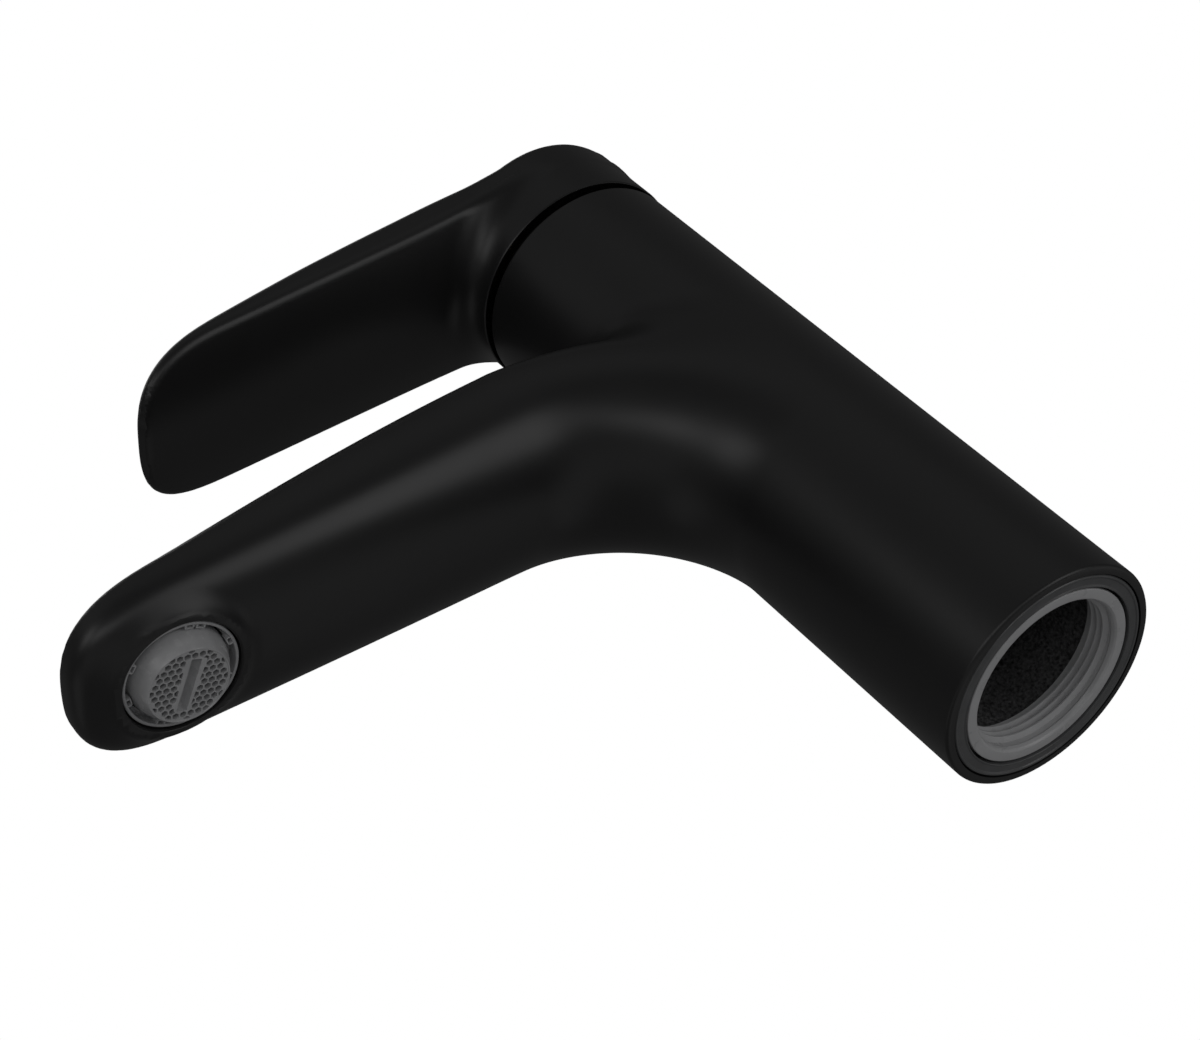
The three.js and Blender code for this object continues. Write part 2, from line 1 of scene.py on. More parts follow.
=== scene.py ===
"""Builds the looks of a single-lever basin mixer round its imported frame.

Shapes are worked in millimetres and written in metres. The origin is the centre of the base plane, +Z is
up, and the spout and the lever point along -Y. Each sub-assembly is a class that holds its sizes, builds
its meshes and dresses them in their finishes.
"""

import json
import logging
import math
from dataclasses import dataclass, field
from enum import Enum
from typing import Callable, Iterable, Sequence

import bmesh
import bpy
import numpy as np
from mathutils import Matrix, Vector
from mathutils.geometry import delaunay_2d_cdt

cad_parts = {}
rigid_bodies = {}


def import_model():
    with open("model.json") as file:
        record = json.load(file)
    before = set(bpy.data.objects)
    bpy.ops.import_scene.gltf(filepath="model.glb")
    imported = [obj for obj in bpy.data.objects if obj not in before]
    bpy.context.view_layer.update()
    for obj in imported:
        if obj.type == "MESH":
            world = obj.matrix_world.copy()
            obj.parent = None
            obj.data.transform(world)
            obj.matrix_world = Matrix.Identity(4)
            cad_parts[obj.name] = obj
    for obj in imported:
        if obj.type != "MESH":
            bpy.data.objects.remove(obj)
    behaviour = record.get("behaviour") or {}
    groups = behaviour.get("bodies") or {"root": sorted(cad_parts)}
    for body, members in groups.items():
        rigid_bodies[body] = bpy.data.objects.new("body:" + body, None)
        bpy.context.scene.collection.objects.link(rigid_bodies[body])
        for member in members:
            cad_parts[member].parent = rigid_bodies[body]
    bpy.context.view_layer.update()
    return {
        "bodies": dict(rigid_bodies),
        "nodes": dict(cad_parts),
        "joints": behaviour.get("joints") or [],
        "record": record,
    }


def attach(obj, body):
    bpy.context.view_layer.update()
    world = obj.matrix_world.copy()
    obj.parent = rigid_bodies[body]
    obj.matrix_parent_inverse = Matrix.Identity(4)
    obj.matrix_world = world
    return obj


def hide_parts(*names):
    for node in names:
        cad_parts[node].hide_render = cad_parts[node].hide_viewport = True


LOG = logging.getLogger("basin_mixer")

MM = 0.001
Array = np.ndarray
Colour = tuple[float, float, float]
Profile = Sequence[tuple[float, float]]
Sample = tuple[Array, Array]  # distance from a surface, and its outward direction, for each point
Shape = Callable[[Array], Sample]
SHARP = math.radians(32)
ROUND = 128  # segments round a large diameter
SMALL_ROUND = 64  # segments round a small diameter


# ---- finishes -------------------------------------------------------------------------------------


class Texture(Enum):
    """How a surface was worked, which sets the direction of its grain."""

    EVEN = (1.0, 1.0, 1.0)
    TURNED = (0.05, 0.05, 1.0)


def add_sockets(group: bpy.types.NodeTree, kind: str, names: Iterable[tuple[str, str, float]]) -> None:
    """Adds named sockets to a node group.

    Args:
        group: The group to add them to.
        kind: INPUT or OUTPUT.
        names: Name, socket type and default value of each socket.
    """
    for name, socket_type, default in names:
        socket = group.interface.new_socket(name=name, in_out=kind, socket_type=socket_type)
        if socket_type == "NodeSocketFloat":
            socket.default_value = default


def grain_group() -> bpy.types.NodeTree:
    """The grain that every finish shares: a fine noise over a broad one.

    Returns:
        A node group that puts out a height for bump, a tone from 0 to 1 and a roughness.
    """
    group = bpy.data.node_groups.new("surface_grain", "ShaderNodeTree")
    value = "NodeSocketFloat"
    add_sockets(group, "INPUT", [
        ("Vector", "NodeSocketVector", 0.0), ("Fine", value, 3000.0), ("Broad", value, 60.0),
        ("Roughness", value, 0.5), ("Spread", value, 0.05),
    ])
    add_sockets(group, "OUTPUT", [("Height", value, 0.0), ("Tone", value, 0.5), ("Roughness", value, 0.5)])
    nodes, links = group.nodes, group.links
    source, sink = nodes.new("NodeGroupInput"), nodes.new("NodeGroupOutput")
    fine, broad = nodes.new("ShaderNodeTexNoise"), nodes.new("ShaderNodeTexNoise")
    fine.inputs["Detail"].default_value = 2.0
    broad.inputs["Detail"].default_value = 4.0
    for noise, scale in ((fine, "Fine"), (broad, "Broad")):
        links.new(source.outputs["Vector"], noise.inputs["Vector"])
        links.new(source.outputs[scale], noise.inputs["Scale"])
    both = nodes.new("ShaderNodeMath")
    both.operation = "MULTIPLY_ADD"
    both.inputs[1].default_value = 0.25
    links.new(broad.outputs["Fac"], both.inputs[0])
    links.new(fine.outputs["Fac"], both.inputs[2])
    links.new(both.outputs[0], sink.inputs["Height"])
    tone = nodes.new("ShaderNodeMapRange")
    tone.inputs["From Min"].default_value = 0.3
    tone.inputs["From Max"].default_value = 0.7
    links.new(broad.outputs["Fac"], tone.inputs["Value"])
    links.new(tone.outputs["Result"], sink.inputs["Tone"])
    centred = nodes.new("ShaderNodeMath")
    centred.operation = "SUBTRACT"
    centred.inputs[1].default_value = 0.5
    links.new(tone.outputs["Result"], centred.inputs[0])
    rough = nodes.new("ShaderNodeMath")
    rough.operation = "MULTIPLY_ADD"
    links.new(centred.outputs[0], rough.inputs[0])
    links.new(source.outputs["Spread"], rough.inputs[1])
    links.new(source.outputs["Roughness"], rough.inputs[2])
    links.new(rough.outputs[0], sink.inputs["Roughness"])
    return group


@dataclass(frozen=True)
class Finish:
    """One surface finish: two tones that a broad noise mixes, and a grain in roughness and height."""

    slot: str
    dark: Colour
    light: Colour
    roughness: float
    spread: float = 0.05
    fine: float = 3200.0
    broad: float = 70.0
    depth: float = 0.00001
    strength: float = 0.25
    metallic: float = 0.0
    specular: float = 0.5
    texture: Texture = Texture.EVEN
    variant: str = ""

    @property
    def name(self) -> str:
        """The material's name."""
        return self.slot + "_finish" + self.variant

    def material(self) -> bpy.types.Material:
        """The Blender material of this finish, made on its first use.

        Returns:
            The material.
        """
        made = bpy.data.materials.get(self.name)
        if made:
            return made
        made = bpy.data.materials.new(self.name)
        made.use_nodes = True
        nodes, links = made.node_tree.nodes, made.node_tree.links
        shader = nodes["Principled BSDF"]
        place, mapping = nodes.new("ShaderNodeTexCoord"), nodes.new("ShaderNodeMapping")
        mapping.inputs["Scale"].default_value = self.texture.value
        grain = nodes.new("ShaderNodeGroup")
        grain.node_tree = bpy.data.node_groups.get("surface_grain") or grain_group()
        for socket, number in (
            ("Fine", self.fine), ("Broad", self.broad),
            ("Roughness", self.roughness), ("Spread", self.spread),
        ):
            grain.inputs[socket].default_value = number
        tones = nodes.new("ShaderNodeMix")
        tones.data_type = "RGBA"
        tones.inputs["A"].default_value = (*self.dark, 1.0)
        tones.inputs["B"].default_value = (*self.light, 1.0)
        bump = nodes.new("ShaderNodeBump")
        bump.inputs["Strength"].default_value = self.strength
        bump.inputs["Distance"].default_value = self.depth
        links.new(place.outputs["Object"], mapping.inputs["Vector"])
        links.new(mapping.outputs["Vector"], grain.inputs["Vector"])
        links.new(grain.outputs["Tone"], tones.inputs["Factor"])
        links.new(tones.outputs["Result"], shader.inputs["Base Color"])
        links.new(grain.outputs["Roughness"], shader.inputs["Roughness"])
        links.new(grain.outputs["Height"], bump.inputs["Height"])
        links.new(bump.outputs["Normal"], shader.inputs["Normal"])
        shader.inputs["Metallic"].default_value = self.metallic
        shader.inputs["Specular IOR Level"].default_value = self.specular
        return made


BLACK_COATING = Finish("black_coating", (0.0125, 0.0125, 0.0128), (0.0145, 0.0145, 0.0148), 0.36, 0.03,
                       fine=4200, broad=45, depth=0.000006, strength=0.18)
RAW_CAST = Finish("black_coating", (0.015, 0.015, 0.015), (0.14, 0.14, 0.142), 0.45, 0.3, fine=2200,
                  broad=1700, depth=0.0003, strength=1.0, variant="_cavity")
GREY_RUBBER = Finish("grey_rubber", (0.085, 0.086, 0.088), (0.1, 0.101, 0.104), 0.24, 0.05, fine=2600,
                     broad=260, depth=0.000012)
GREY_PLASTIC = Finish("grey_plastic", (0.42, 0.422, 0.43), (0.47, 0.472, 0.48), 0.3, 0.1, fine=2200,
                      broad=240, depth=0.00002, strength=0.35)
AERATOR_PLASTIC = Finish("aerator_plastic", (0.38, 0.382, 0.39), (0.44, 0.442, 0.45), 0.26, 0.08,
                         fine=3600, broad=420, depth=0.000012, strength=0.3)
# Near-black finish for the floors of the outlet's cells: painted shade for the dark depth inside the
# honeycomb.
AERATOR_PAINTED_SHADE = Finish("aerator_plastic", (0.012, 0.012, 0.013), (0.03, 0.03, 0.031), 0.6, 0.1, fine=2400,
                       broad=900, variant="_painted_shade")
PALE_PLASTIC = Finish("pale_plastic", (0.56, 0.57, 0.58), (0.66, 0.67, 0.68), 0.5, fine=2400)
BLACK_PLASTIC = Finish("black_plastic", (0.006, 0.006, 0.0063), (0.0085, 0.0085, 0.009), 0.55, 0.08,
                       fine=2600, broad=180, depth=0.00002)
BLACK_RUBBER = Finish("black_rubber", (0.015, 0.015, 0.015), (0.025, 0.025, 0.025), 0.75)
CERAMIC = Finish("ceramic", (0.76, 0.75, 0.71), (0.84, 0.83, 0.79), 0.22, fine=900, broad=40)
STAINLESS = Finish("stainless", (0.5, 0.5, 0.51), (0.6, 0.6, 0.61), 0.28, 0.15, fine=2400, metallic=1.0,
                   texture=Texture.TURNED)
BRASS = Finish("brass", (0.55, 0.42, 0.19), (0.65, 0.52, 0.25), 0.3, 0.15, fine=2400, metallic=1.0,
               texture=Texture.TURNED)
INDICATOR = Finish("indicator", (0.27, 0.28, 0.3), (0.33, 0.34, 0.36), 0.3, 0.08, fine=2600, broad=200)
FINISHES = {
    finish.slot: finish
    for finish in (BLACK_COATING, GREY_RUBBER, GREY_PLASTIC, AERATOR_PLASTIC, PALE_PLASTIC, BLACK_PLASTIC,
                   BLACK_RUBBER, CERAMIC, STAINLESS, BRASS, INDICATOR)
}


# ---- smooth surfaces ------------------------------------------------------------------------------


def measured(value: Callable[[Array], Array], points: Array, step: float = 0.02) -> Sample:
    """Turns any smooth value that is zero on a surface into a distance and a direction.

    Args:
        value: The value, negative inside.
        points: Points, one a row.
        step: Spacing of the differences.

    Returns:
        The distance, to first order, and the unit gradient.
    """
    rise = np.stack([(value(points + step * axis) - value(points - step * axis)) / (2 * step)
                     for axis in np.eye(3)], axis=1)
    length = np.maximum(np.linalg.norm(rise, axis=1), 1e-3)
    return value(points) / length, rise / length[:, None]


def joined(first: Sample, second: Sample, radius: float, gentle: float) -> Sample:
    """Joins two surfaces with a fillet.

    Args:
        first: Distance and direction of one surface.
        second: The same of the other.
        radius: Fillet radius where the two meet squarely.
        gentle: Fillet radius where they meet at a small angle.

    Returns:
        Distance and direction of the joined surface.
    """
    (a, a_way), (b, b_way) = first, second
    facing = 1 - np.sum(a_way * b_way, axis=1)
    reach = np.maximum(radius * (1 - np.exp(-facing * gentle / radius)), 1e-6)
    share = np.clip(0.5 + 0.5 * (b - a) / reach, 0, 1)
    distance = share * a + (1 - share) * b - reach * share * (1 - share)
    return distance, share[:, None] * a_way + (1 - share[:, None]) * b_way


def cut(first: Sample, second: Sample, radius: float) -> Sample:
    """The part inside both surfaces, its edge rounded to the radius.

    Args:
        first: Distance and direction of one surface.
        second: The same of the other.
        radius: Radius of the edge.

    Returns:
        Distance and direction of what both hold.
    """
    (a, a_way), (b, b_way) = first, second
    share = np.clip(0.5 + 0.5 * (a - b) / radius, 0, 1)
    distance = share * a + (1 - share) * b + radius * share * (1 - share)
    return distance, share[:, None] * a_way + (1 - share[:, None]) * b_way


def column(points: Array, radius: float) -> Sample:
    """Distance and direction of an upright cylinder on the axis."""
    reach = np.maximum(np.hypot(points[:, 0], points[:, 1]), 1e-6)
    way = np.stack([points[:, 0] / reach, points[:, 1] / reach, np.zeros_like(reach)], axis=1)
    return reach - radius, way


def softened(values: Array, width: int) -> Array:
    """A table of values with its corners rounded by two running means."""
    for _ in range(2):
        padded = np.pad(values, width, mode="edge")
        values = np.convolve(padded, np.ones(2 * width + 1) / (2 * width + 1), "valid")
    return values


class Table:
    """A measure that changes smoothly along a run, tabulated from a formula or from knots."""

    STEP = 0.25

    def __init__(self, start: float, stop: float, formula: Callable[[Array], Array], soften: float) -> None:
        """Fills the table.

        Args:
            start: First place along the run.
            stop: Last place.
            formula: The measure at each place.
            soften: Length over which corners are rounded.
        """
        margin = 2 * soften
        self.places = np.arange(start - margin, stop + margin, self.STEP)
        self.values = softened(formula(self.places), max(1, round(soften / 2 / self.STEP)))

    def __call__(self, place: Array) -> Array:
        """The measure at each place."""
        return np.interp(place, self.places, self.values)


def settle(bm: bmesh.types.BMesh, shape: Shape, rounds: int, longest: float = 1.5) -> None:
    """Moves every vertex onto a surface along its direction.

    Args:
        bm: The mesh.
        shape: The surface.
        rounds: How many moves.
        longest: Longest single move.
    """
    points = np.array([v.co for v in bm.verts])
    for _ in range(rounds):
        distance, way = shape(points)
        steep = np.maximum(np.sum(way * way, axis=1), 0.05)
        points -= np.clip(distance / steep, -longest, longest)[:, None] * way
    for v, point in zip(bm.verts, points):
        v.co = point


def relax(bm: bmesh.types.BMesh, shape: Shape, passes: int) -> None:
    """Evens out a mesh's spacing while it stays on its surface.

    Args:
        bm: The mesh.
        shape: The surface.
        passes: How many times it is smoothed and put back.
    """
    settle(bm, shape, 8)
    for _ in range(passes):
        bmesh.ops.smooth_vert(bm, verts=bm.verts, factor=0.5,
                              use_axis_x=True, use_axis_y=True, use_axis_z=True)
        settle(bm, shape, 2)
    settle(bm, shape, 3)


# ---- mesh work ------------------------------------------------------------------------------------


def even_skin(bm: bmesh.types.BMesh, voxel: float) -> bmesh.types.BMesh:
    """Fuses overlapping closed shells into one skin of even quads.

    Args:
        bm: The shells, which are freed.
        voxel: Size of the quads.

    Returns:
        The fused mesh.
    """
    mesh = bpy.data.meshes.new("rough")
    bm.to_mesh(mesh)
    bm.free()
    rough = bpy.data.objects.new("rough", mesh)
    bpy.context.scene.collection.objects.link(rough)
    remesh = rough.modifiers.new("even_skin", "REMESH")
    remesh.mode = "VOXEL"
    remesh.voxel_size = voxel
    even = bpy.data.meshes.new_from_object(rough.evaluated_get(bpy.context.evaluated_depsgraph_get()))
    made = bmesh.new()
    made.from_mesh(even)
    bpy.data.objects.remove(rough)
    bpy.data.meshes.remove(mesh)
    bpy.data.meshes.remove(even)
    return made


def open_edges(bm: bmesh.types.BMesh) -> list[bmesh.types.BMEdge]:
    """The edges that have a face on one side only."""
    return [e for e in bm.edges if e.is_boundary]


def trim(bm: bmesh.types.BMesh, height: float, above: bool, radius: float) -> list[bmesh.types.BMEdge]:
    """Cuts a mesh off at a height, within a distance of the axis.

    Args:
        bm: The mesh.
        height: Where to cut.
        above: True to drop what is above the cut.
        radius: Only faces nearer the axis than this are cut.

    Returns:
        The edges of the new round opening.
    """
    near = [f for f in bm.faces if math.hypot(*f.calc_center_median().xy) < radius]
    geom = list({v for f in near for v in f.verts}) + list({e for f in near for e in f.edges}) + near
    bmesh.ops.bisect_plane(bm, geom=geom, plane_co=(0, 0, height), plane_no=(0, 0, 1),
                           clear_outer=above, clear_inner=not above)
    return [e for e in open_edges(bm) if all(abs(v.co.z - height) < 1e-3 for v in e.verts)]


def follow(
    bm: bmesh.types.BMesh, edges: list[bmesh.types.BMEdge], profile: Profile, frame: Matrix = Matrix(),
) -> list[bmesh.types.BMEdge]:
    """Carries a round opening on through a profile of [radius, height] places.

    Args:
        bm: The mesh.
        edges: The opening's edges.
        profile: The places, in the frame's own axes.
        frame: The frame whose Z is the profile's axis.

    Returns:
        The edges of the last ring.
    """
    back = frame.inverted()
    for radius, height in profile:
        made = bmesh.ops.extrude_edge_only(bm, edges=edges)["geom"]
        verts = {g for g in made if isinstance(g, bmesh.types.BMVert)}
        edges = [g for g in made if isinstance(g, bmesh.types.BMEdge) and set(g.verts) <= verts]
        for v in verts:
            local = back @ v.co
            angle = math.atan2(local.y, local.x)
            v.co = frame @ Vector((radius * math.cos(angle), radius * math.sin(angle), height))
    return edges


def close(bm: bmesh.types.BMesh, edges: list[bmesh.types.BMEdge]) -> None:
    """Fills a flat round opening with one face."""
    bmesh.ops.edgeloop_fill(bm, edges=edges)


def bore(
    bm: bmesh.types.BMesh, frame: Matrix, shape: Shape, radius: float, edge: float, depth: float,
) -> None:
    """Sinks a round pocket into a skin, with a rounded edge.

    Args:
        bm: The mesh.
        frame: The pocket's frame, with Z into the material and its origin near the skin.
        shape: The skin's surface.
        radius: The pocket's radius.
        edge: Radius of the rounding at its mouth.
        depth: Height of its floor above the frame's origin.
    """
    back = frame.inverted()
    into = (frame.to_3x3() @ Vector((0, 0, 1))).normalized()
    room = radius + edge + 1.0
    doomed = []
    for face in bm.faces:
        local = back @ face.calc_center_median()
        if math.hypot(local.x, local.y) < room and abs(local.z) < 6 and face.normal.dot(into) < -0.2:
            doomed.append(face)
    bmesh.ops.delete(bm, geom=doomed, context="FACES")
    rim = []
    for e in open_edges(bm):
        local = back @ e.verts[0].co
        if math.hypot(*local.xy) < room + 3 and abs(local.z) < 6:
            rim.append(e)
    ring = bmesh.ops.create_circle(bm, cap_ends=False, segments=ROUND, radius=radius + edge,
                                   matrix=frame)["verts"]
    points = np.array([v.co for v in ring])
    for _ in range(12):
        distance, way = shape(points)
        points -= (distance / np.minimum(way @ np.array(into), -0.3))[:, None] * np.array(into)
    for v, point in zip(ring, points):
        v.co = point
    ring_edges = list({e for v in ring for e in v.link_edges})
    bmesh.ops.bridge_loops(bm, edges=rim + ring_edges)
    last = 0.0
    for turn in (math.radians(a) for a in (30, 60, 90)):
        lip, inset = edge * (1 - math.cos(turn)), edge * math.sin(turn)
        made = bmesh.ops.extrude_edge_only(bm, edges=ring_edges)["geom"]
        verts = {g for g in made if isinstance(g, bmesh.types.BMVert)}
        ring_edges = [g for g in made if isinstance(g, bmesh.types.BMEdge) and set(g.verts) <= verts]
        for v in verts:
            local = back @ v.co
            angle = math.atan2(local.y, local.x)
            reach = radius + edge - inset
            rise = local.z + (lip - last if last else lip)
            v.co = frame @ Vector((reach * math.cos(angle), reach * math.sin(angle), rise))
        last = lip
    close(bm, follow(bm, ring_edges, [(radius, depth)], frame))


def revolve(bm: bmesh.types.BMesh, profile: Profile, steps: int = ROUND, closed: bool = True) -> None:
    """Spins a profile of [radius, height] places round Z.

    Args:
        bm: The mesh to add to.
        profile: The places.
        steps: Segments round.
        closed: True if the profile's last place joins its first.
    """
    verts = [bm.verts.new((radius, 0, height)) for radius, height in profile]
    pairs = list(zip(verts, verts[1:])) + ([(verts[-1], verts[0])] if closed else [])
    edges = [bm.edges.new(pair) for pair in pairs]
    bmesh.ops.spin(bm, geom=verts + edges, cent=(0, 0, 0), axis=(0, 0, 1), angle=2 * math.pi, steps=steps,
                   use_merge=True)
    bmesh.ops.remove_doubles(bm, verts=bm.verts, dist=1e-4)


def area(outline: Sequence[Vector]) -> float:
    """The area inside a flat outline."""
    pairs = zip(outline, [*outline[1:], outline[0]])
    return abs(sum(a.x * b.y - b.x * a.y for a, b in pairs)) / 2


def encloses(outline: Sequence[Vector], point: Vector) -> bool:
    """True if a point is inside a flat outline."""
    inside = False
    for a, b in zip(outline, [*outline[1:], outline[0]]):
        if (a.y > point.y) != (b.y > point.y):
            inside ^= point.x < a.x + (b.x - a.x) * (point.y - a.y) / (b.y - a.y)
    return inside


def pierced_plate(bm: bmesh.types.BMesh, outlines: Sequence[Sequence[Vector]]) -> None:
    """Adds the flat face inside the first outline and outside all the others.

    Args:
        bm: The mesh.
        outlines: Closed outlines in the plane z = 0.
    """
    points = [point.xy for outline in outlines for point in outline]
    loops, start = [], 0
    for outline in outlines:
        loops.append(list(range(start, start + len(outline))))
        start += len(outline)
    flat, _, faces, _, _, _ = delaunay_2d_cdt(points, [], loops, 1, 1e-5)
    verts = [bm.verts.new((*point, 0)) for point in flat]
    for face in faces:
        centre = sum((flat[i] for i in face), Vector((0, 0))) / len(face)
        if not any(encloses(hole, centre) for hole in outlines[1:]):
            bm.faces.new([verts[i] for i in face])
    bmesh.ops.delete(bm, geom=[v for v in verts if not v.link_faces], context="VERTS")


def sink(bm: bmesh.types.BMesh, edges: list[bmesh.types.BMEdge], depth: float) -> list[bmesh.types.BMEdge]:
    """Extrudes edges straight up by a depth and returns the new ones."""
    made = bmesh.ops.extrude_edge_only(bm, edges=edges)["geom"]
    verts = [g for g in made if isinstance(g, bmesh.types.BMVert)]
    bmesh.ops.translate(bm, vec=(0, 0, depth), verts=verts)
    return [g for g in made if isinstance(g, bmesh.types.BMEdge) and set(g.verts) <= set(verts)]


def rounded(profile: Profile, corners: dict[int, float], steps: int = 4) -> list[tuple[float, float]]:
    """A profile with some of its corners rounded.

    Args:
        profile: A closed profile of [radius, height] places.
        corners: Index of each corner to round, with its radius.
        steps: Segments of each rounding.

    Returns:
        The new profile.
    """
    made: list[tuple[float, float]] = []
    for i, place in enumerate(profile):
        if i not in corners:
            made.append(tuple(place))
            continue
        here = Vector(place)
        before = (Vector(profile[i - 1]) - here).normalized()
        after = (Vector(profile[(i + 1) % len(profile)]) - here).normalized()
        half = before.angle(after) / 2
        run = corners[i] / math.tan(half)
        start, end = here + before * run, here + after * run
        for k in range(steps + 1):
            t = k / steps
            point = start.lerp(here, t).lerp(here.lerp(end, t), t)
            made.append((point.x, point.y))
    return made


def finished(
    bm: bmesh.types.BMesh, name: str, finishes: Sequence[Finish], body: str, nodes: Sequence[str] = (),
    frame: Matrix = Matrix(), skin: Shape | None = None, outward: Sequence[float] | None = None,
) -> bpy.types.Object:
    """Turns a mesh worked in millimetres into a dressed piece that rides on its body.

    Args:
        bm: The mesh, which is freed.
        name: The piece's name.
        finishes: Its finishes, in the order of its faces' material indices.
        body: The CAD body it rides on.
        nodes: The CAD nodes it stands for.
        frame: The frame the mesh was worked in.
        skin: The surface that gives its exact shading, where it has one.
        outward: For an open sheet, the way its largest face looks.

    Returns:
        The piece.
    """
    bmesh.ops.remove_doubles(bm, verts=bm.verts, dist=1e-4)
    bmesh.ops.recalc_face_normals(bm, faces=bm.faces)
    largest = max(bm.faces, key=lambda f: f.calc_area())
    if outward and largest.normal.dot(Vector(outward)) < 0:
        bmesh.ops.reverse_faces(bm, faces=bm.faces)
    bmesh.ops.transform(bm, matrix=frame, verts=bm.verts)
    mesh = bpy.data.meshes.new(name)
    bm.to_mesh(mesh)
    bm.free()
    mesh.polygons.foreach_set("use_smooth", [True] * len(mesh.polygons))
    mesh.set_sharp_from_angle(angle=SHARP)
    if skin:
        shade_from(mesh, skin)
    mesh.transform(Matrix.Scale(MM, 4))
    for finish in finishes:
        mesh.materials.append(finish.material())
    piece = bpy.data.objects.new(name, mesh)
    bpy.context.scene.collection.objects.link(piece)
    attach(piece, body)
    if nodes:
        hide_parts(*nodes)
    LOG.info("%s: %d faces", name, len(mesh.polygons))
    return piece


def shade_from(mesh: bpy.types.Mesh, skin: Shape) -> None:
    """Gives a mesh the exact normals of its surface, wherever it lies on it.

    Args:
        mesh: The mesh, in millimetres.
        skin: The surface.
    """
    count, loops = len(mesh.vertices), len(mesh.loops)
    points = np.empty(count * 3)
    mesh.vertices.foreach_get("co", points)
    points = points.reshape(-1, 3)
    distance, way = skin(points)
    way = way / np.maximum(np.linalg.norm(way, axis=1), 1e-6)[:, None]
    corner = np.empty(loops, dtype=np.int32)
    mesh.loops.foreach_get("vertex_index", corner)
    facing = np.empty(len(mesh.polygons) * 3)
    mesh.polygons.foreach_get("normal", facing)
    totals = np.empty(len(mesh.polygons), dtype=np.int32)
    mesh.polygons.foreach_get("loop_total", totals)
    facing = np.repeat(facing.reshape(-1, 3), totals, axis=0)
    normals = way[corner]
    on_skin = (np.abs(distance[corner]) < 0.01) & (np.sum(normals * facing, axis=1) > 0.94)
    normals[~on_skin] = 0
    mesh.normals_split_custom_set(normals.tolist())


# ---- body and spout -------------------------------------------------------------------------------


@dataclass
class Spout:
    """The spout's outside: an elbow out of the column, an arched run and a blunt nose."""

    elbow_y: float = -49.2
    elbow_z: float = 56.4
    elbow_radius: float = 26.5
    column_radius: float = 22.9
    root_width: float = 21.0
    root_top: float = 107.2
    root_belly: float = 16.5
    tip_y: float = -126.0
    tip_width: float = 17.7
    tip_bottom: float = 79.4
    tip_top: float = 92.9
    tip_belly: float = 9.5
    arch: float = 2.8
    nose_start: float = -124.0
    nose_end: float = -145.0
    soften: float = 10.0
    tables: dict[str, Table] = field(default_factory=dict)

    def __post_init__(self) -> None:
        """Tabulates each measure along the run, from the column out to the nose."""
        self.turn_length = self.elbow_radius * math.pi / 2
        self.run_length = self.elbow_y - self.tip_y
        stop = self.turn_length + self.elbow_y - self.nose_end + 5
        root_bottom = self.elbow_z + self.elbow_radius

        def along(start: float, root: float, tip: float, bow: float = 0.0) -> Callable[[Array], Array]:
            """A measure that eases from start to root round the elbow, then runs straight to the tip."""
            def formula(place: Array) -> Array:
                turn = np.clip(place / self.turn_length, 0, 1)
                t = np.maximum((place - self.turn_length) / self.run_length, 0)
                eased = start + (root - start) * turn * turn * (3 - 2 * turn)
                return eased + (tip - root) * t + bow * np.maximum(4 * t * (1 - t), 0)
            return formula

        measures = {
            "drop": along(0, 0, root_bottom - self.tip_bottom),
            "width": along(self.column_radius, self.root_width, self.tip_width),
            "height": along(2 * self.column_radius, self.root_top - root_bottom,
                            self.tip_top - self.tip_bottom, self.arch),
            "belly": along(self.column_radius, self.root_belly, self.tip_belly),
            "lower": along(2, 2.15, 2.8),
            "upper": along(2, 2.8, 2.3),
        }
        self.tables = {name: Table(0, stop, formula, self.soften) for name, formula in measures.items()}

    def value(self, points: Array) -> Array:
        """A value that is zero on the spout's skin and negative inside."""
        x, y, z = points.T
        back, rise = y - self.elbow_y, z - self.elbow_z
        angle = np.clip(np.arctan2(np.maximum(rise, 0), np.maximum(back, 1e-9)), 0, math.pi / 2)
        out = np.where(back <= 0, rise, np.where(rise <= 0, back, np.hypot(back, rise)))
        place = np.where(back <= 0, self.turn_length - back, angle * self.elbow_radius)
        at = {name: table(place) for name, table in self.tables.items()}
        above = out - self.elbow_radius + at["drop"] - at["belly"]
        reach = np.where(above < 0, at["belly"], at["height"] - at["belly"])
        power = np.where(above < 0, at["lower"], at["upper"])
        a, b = np.abs(x) / at["width"], np.abs(above) / reach
        section = np.maximum(a**power + b**power, 1e-12) ** (1 / power)
        t = np.maximum((self.nose_start - y) / (self.nose_start - self.nose_end), 0)
        blunt = 2.7 + 0.7 * b * b / (a * a + b * b + 1e-9)
        return (section**blunt + t**blunt) ** (1 / blunt) - 1

    def sample(self, points: Array) -> Sample:
        """Distance and direction of the spout's skin."""
        return measured(self.value, points)

    def rough(self, bm: bmesh.types.BMesh) -> None:
        """Adds a plain tube that follows the spout, for its skin to start from."""
        grid = bmesh.ops.create_grid(bm, x_segments=40, y_segments=48, size=0.5)["verts"]
        last = self.turn_length + self.elbow_y - self.nose_end
        for v in grid:
            around, place = 2 * math.pi * (v.co.x + 0.5), last * (v.co.y + 0.5)
            at = {name: float(table(place)) for name, table in self.tables.items()}
            y = self.elbow_y - max(place - self.turn_length, 0)
            nose = max((self.nose_start - y) / (self.nose_start - self.nose_end), 0)
            scale = max(1 - nose**2.7, 0.02) ** (1 / 2.7)
            reach = at["belly"] if math.sin(around) < 0 else at["height"] - at["belly"]
            out = self.elbow_radius - at["drop"] + at["belly"] + scale * reach * math.sin(around)
            turn = min(place / self.elbow_radius, math.pi / 2)
            v.co = (
                scale * at["width"] * math.cos(around),
                y + out * math.cos(turn),
                self.elbow_z + out * math.sin(turn),
            )
        bmesh.ops.remove_doubles(bm, verts=grid, dist=1e-4)
        bmesh.ops.holes_fill(bm, edges=open_edges(bm), sides=0)


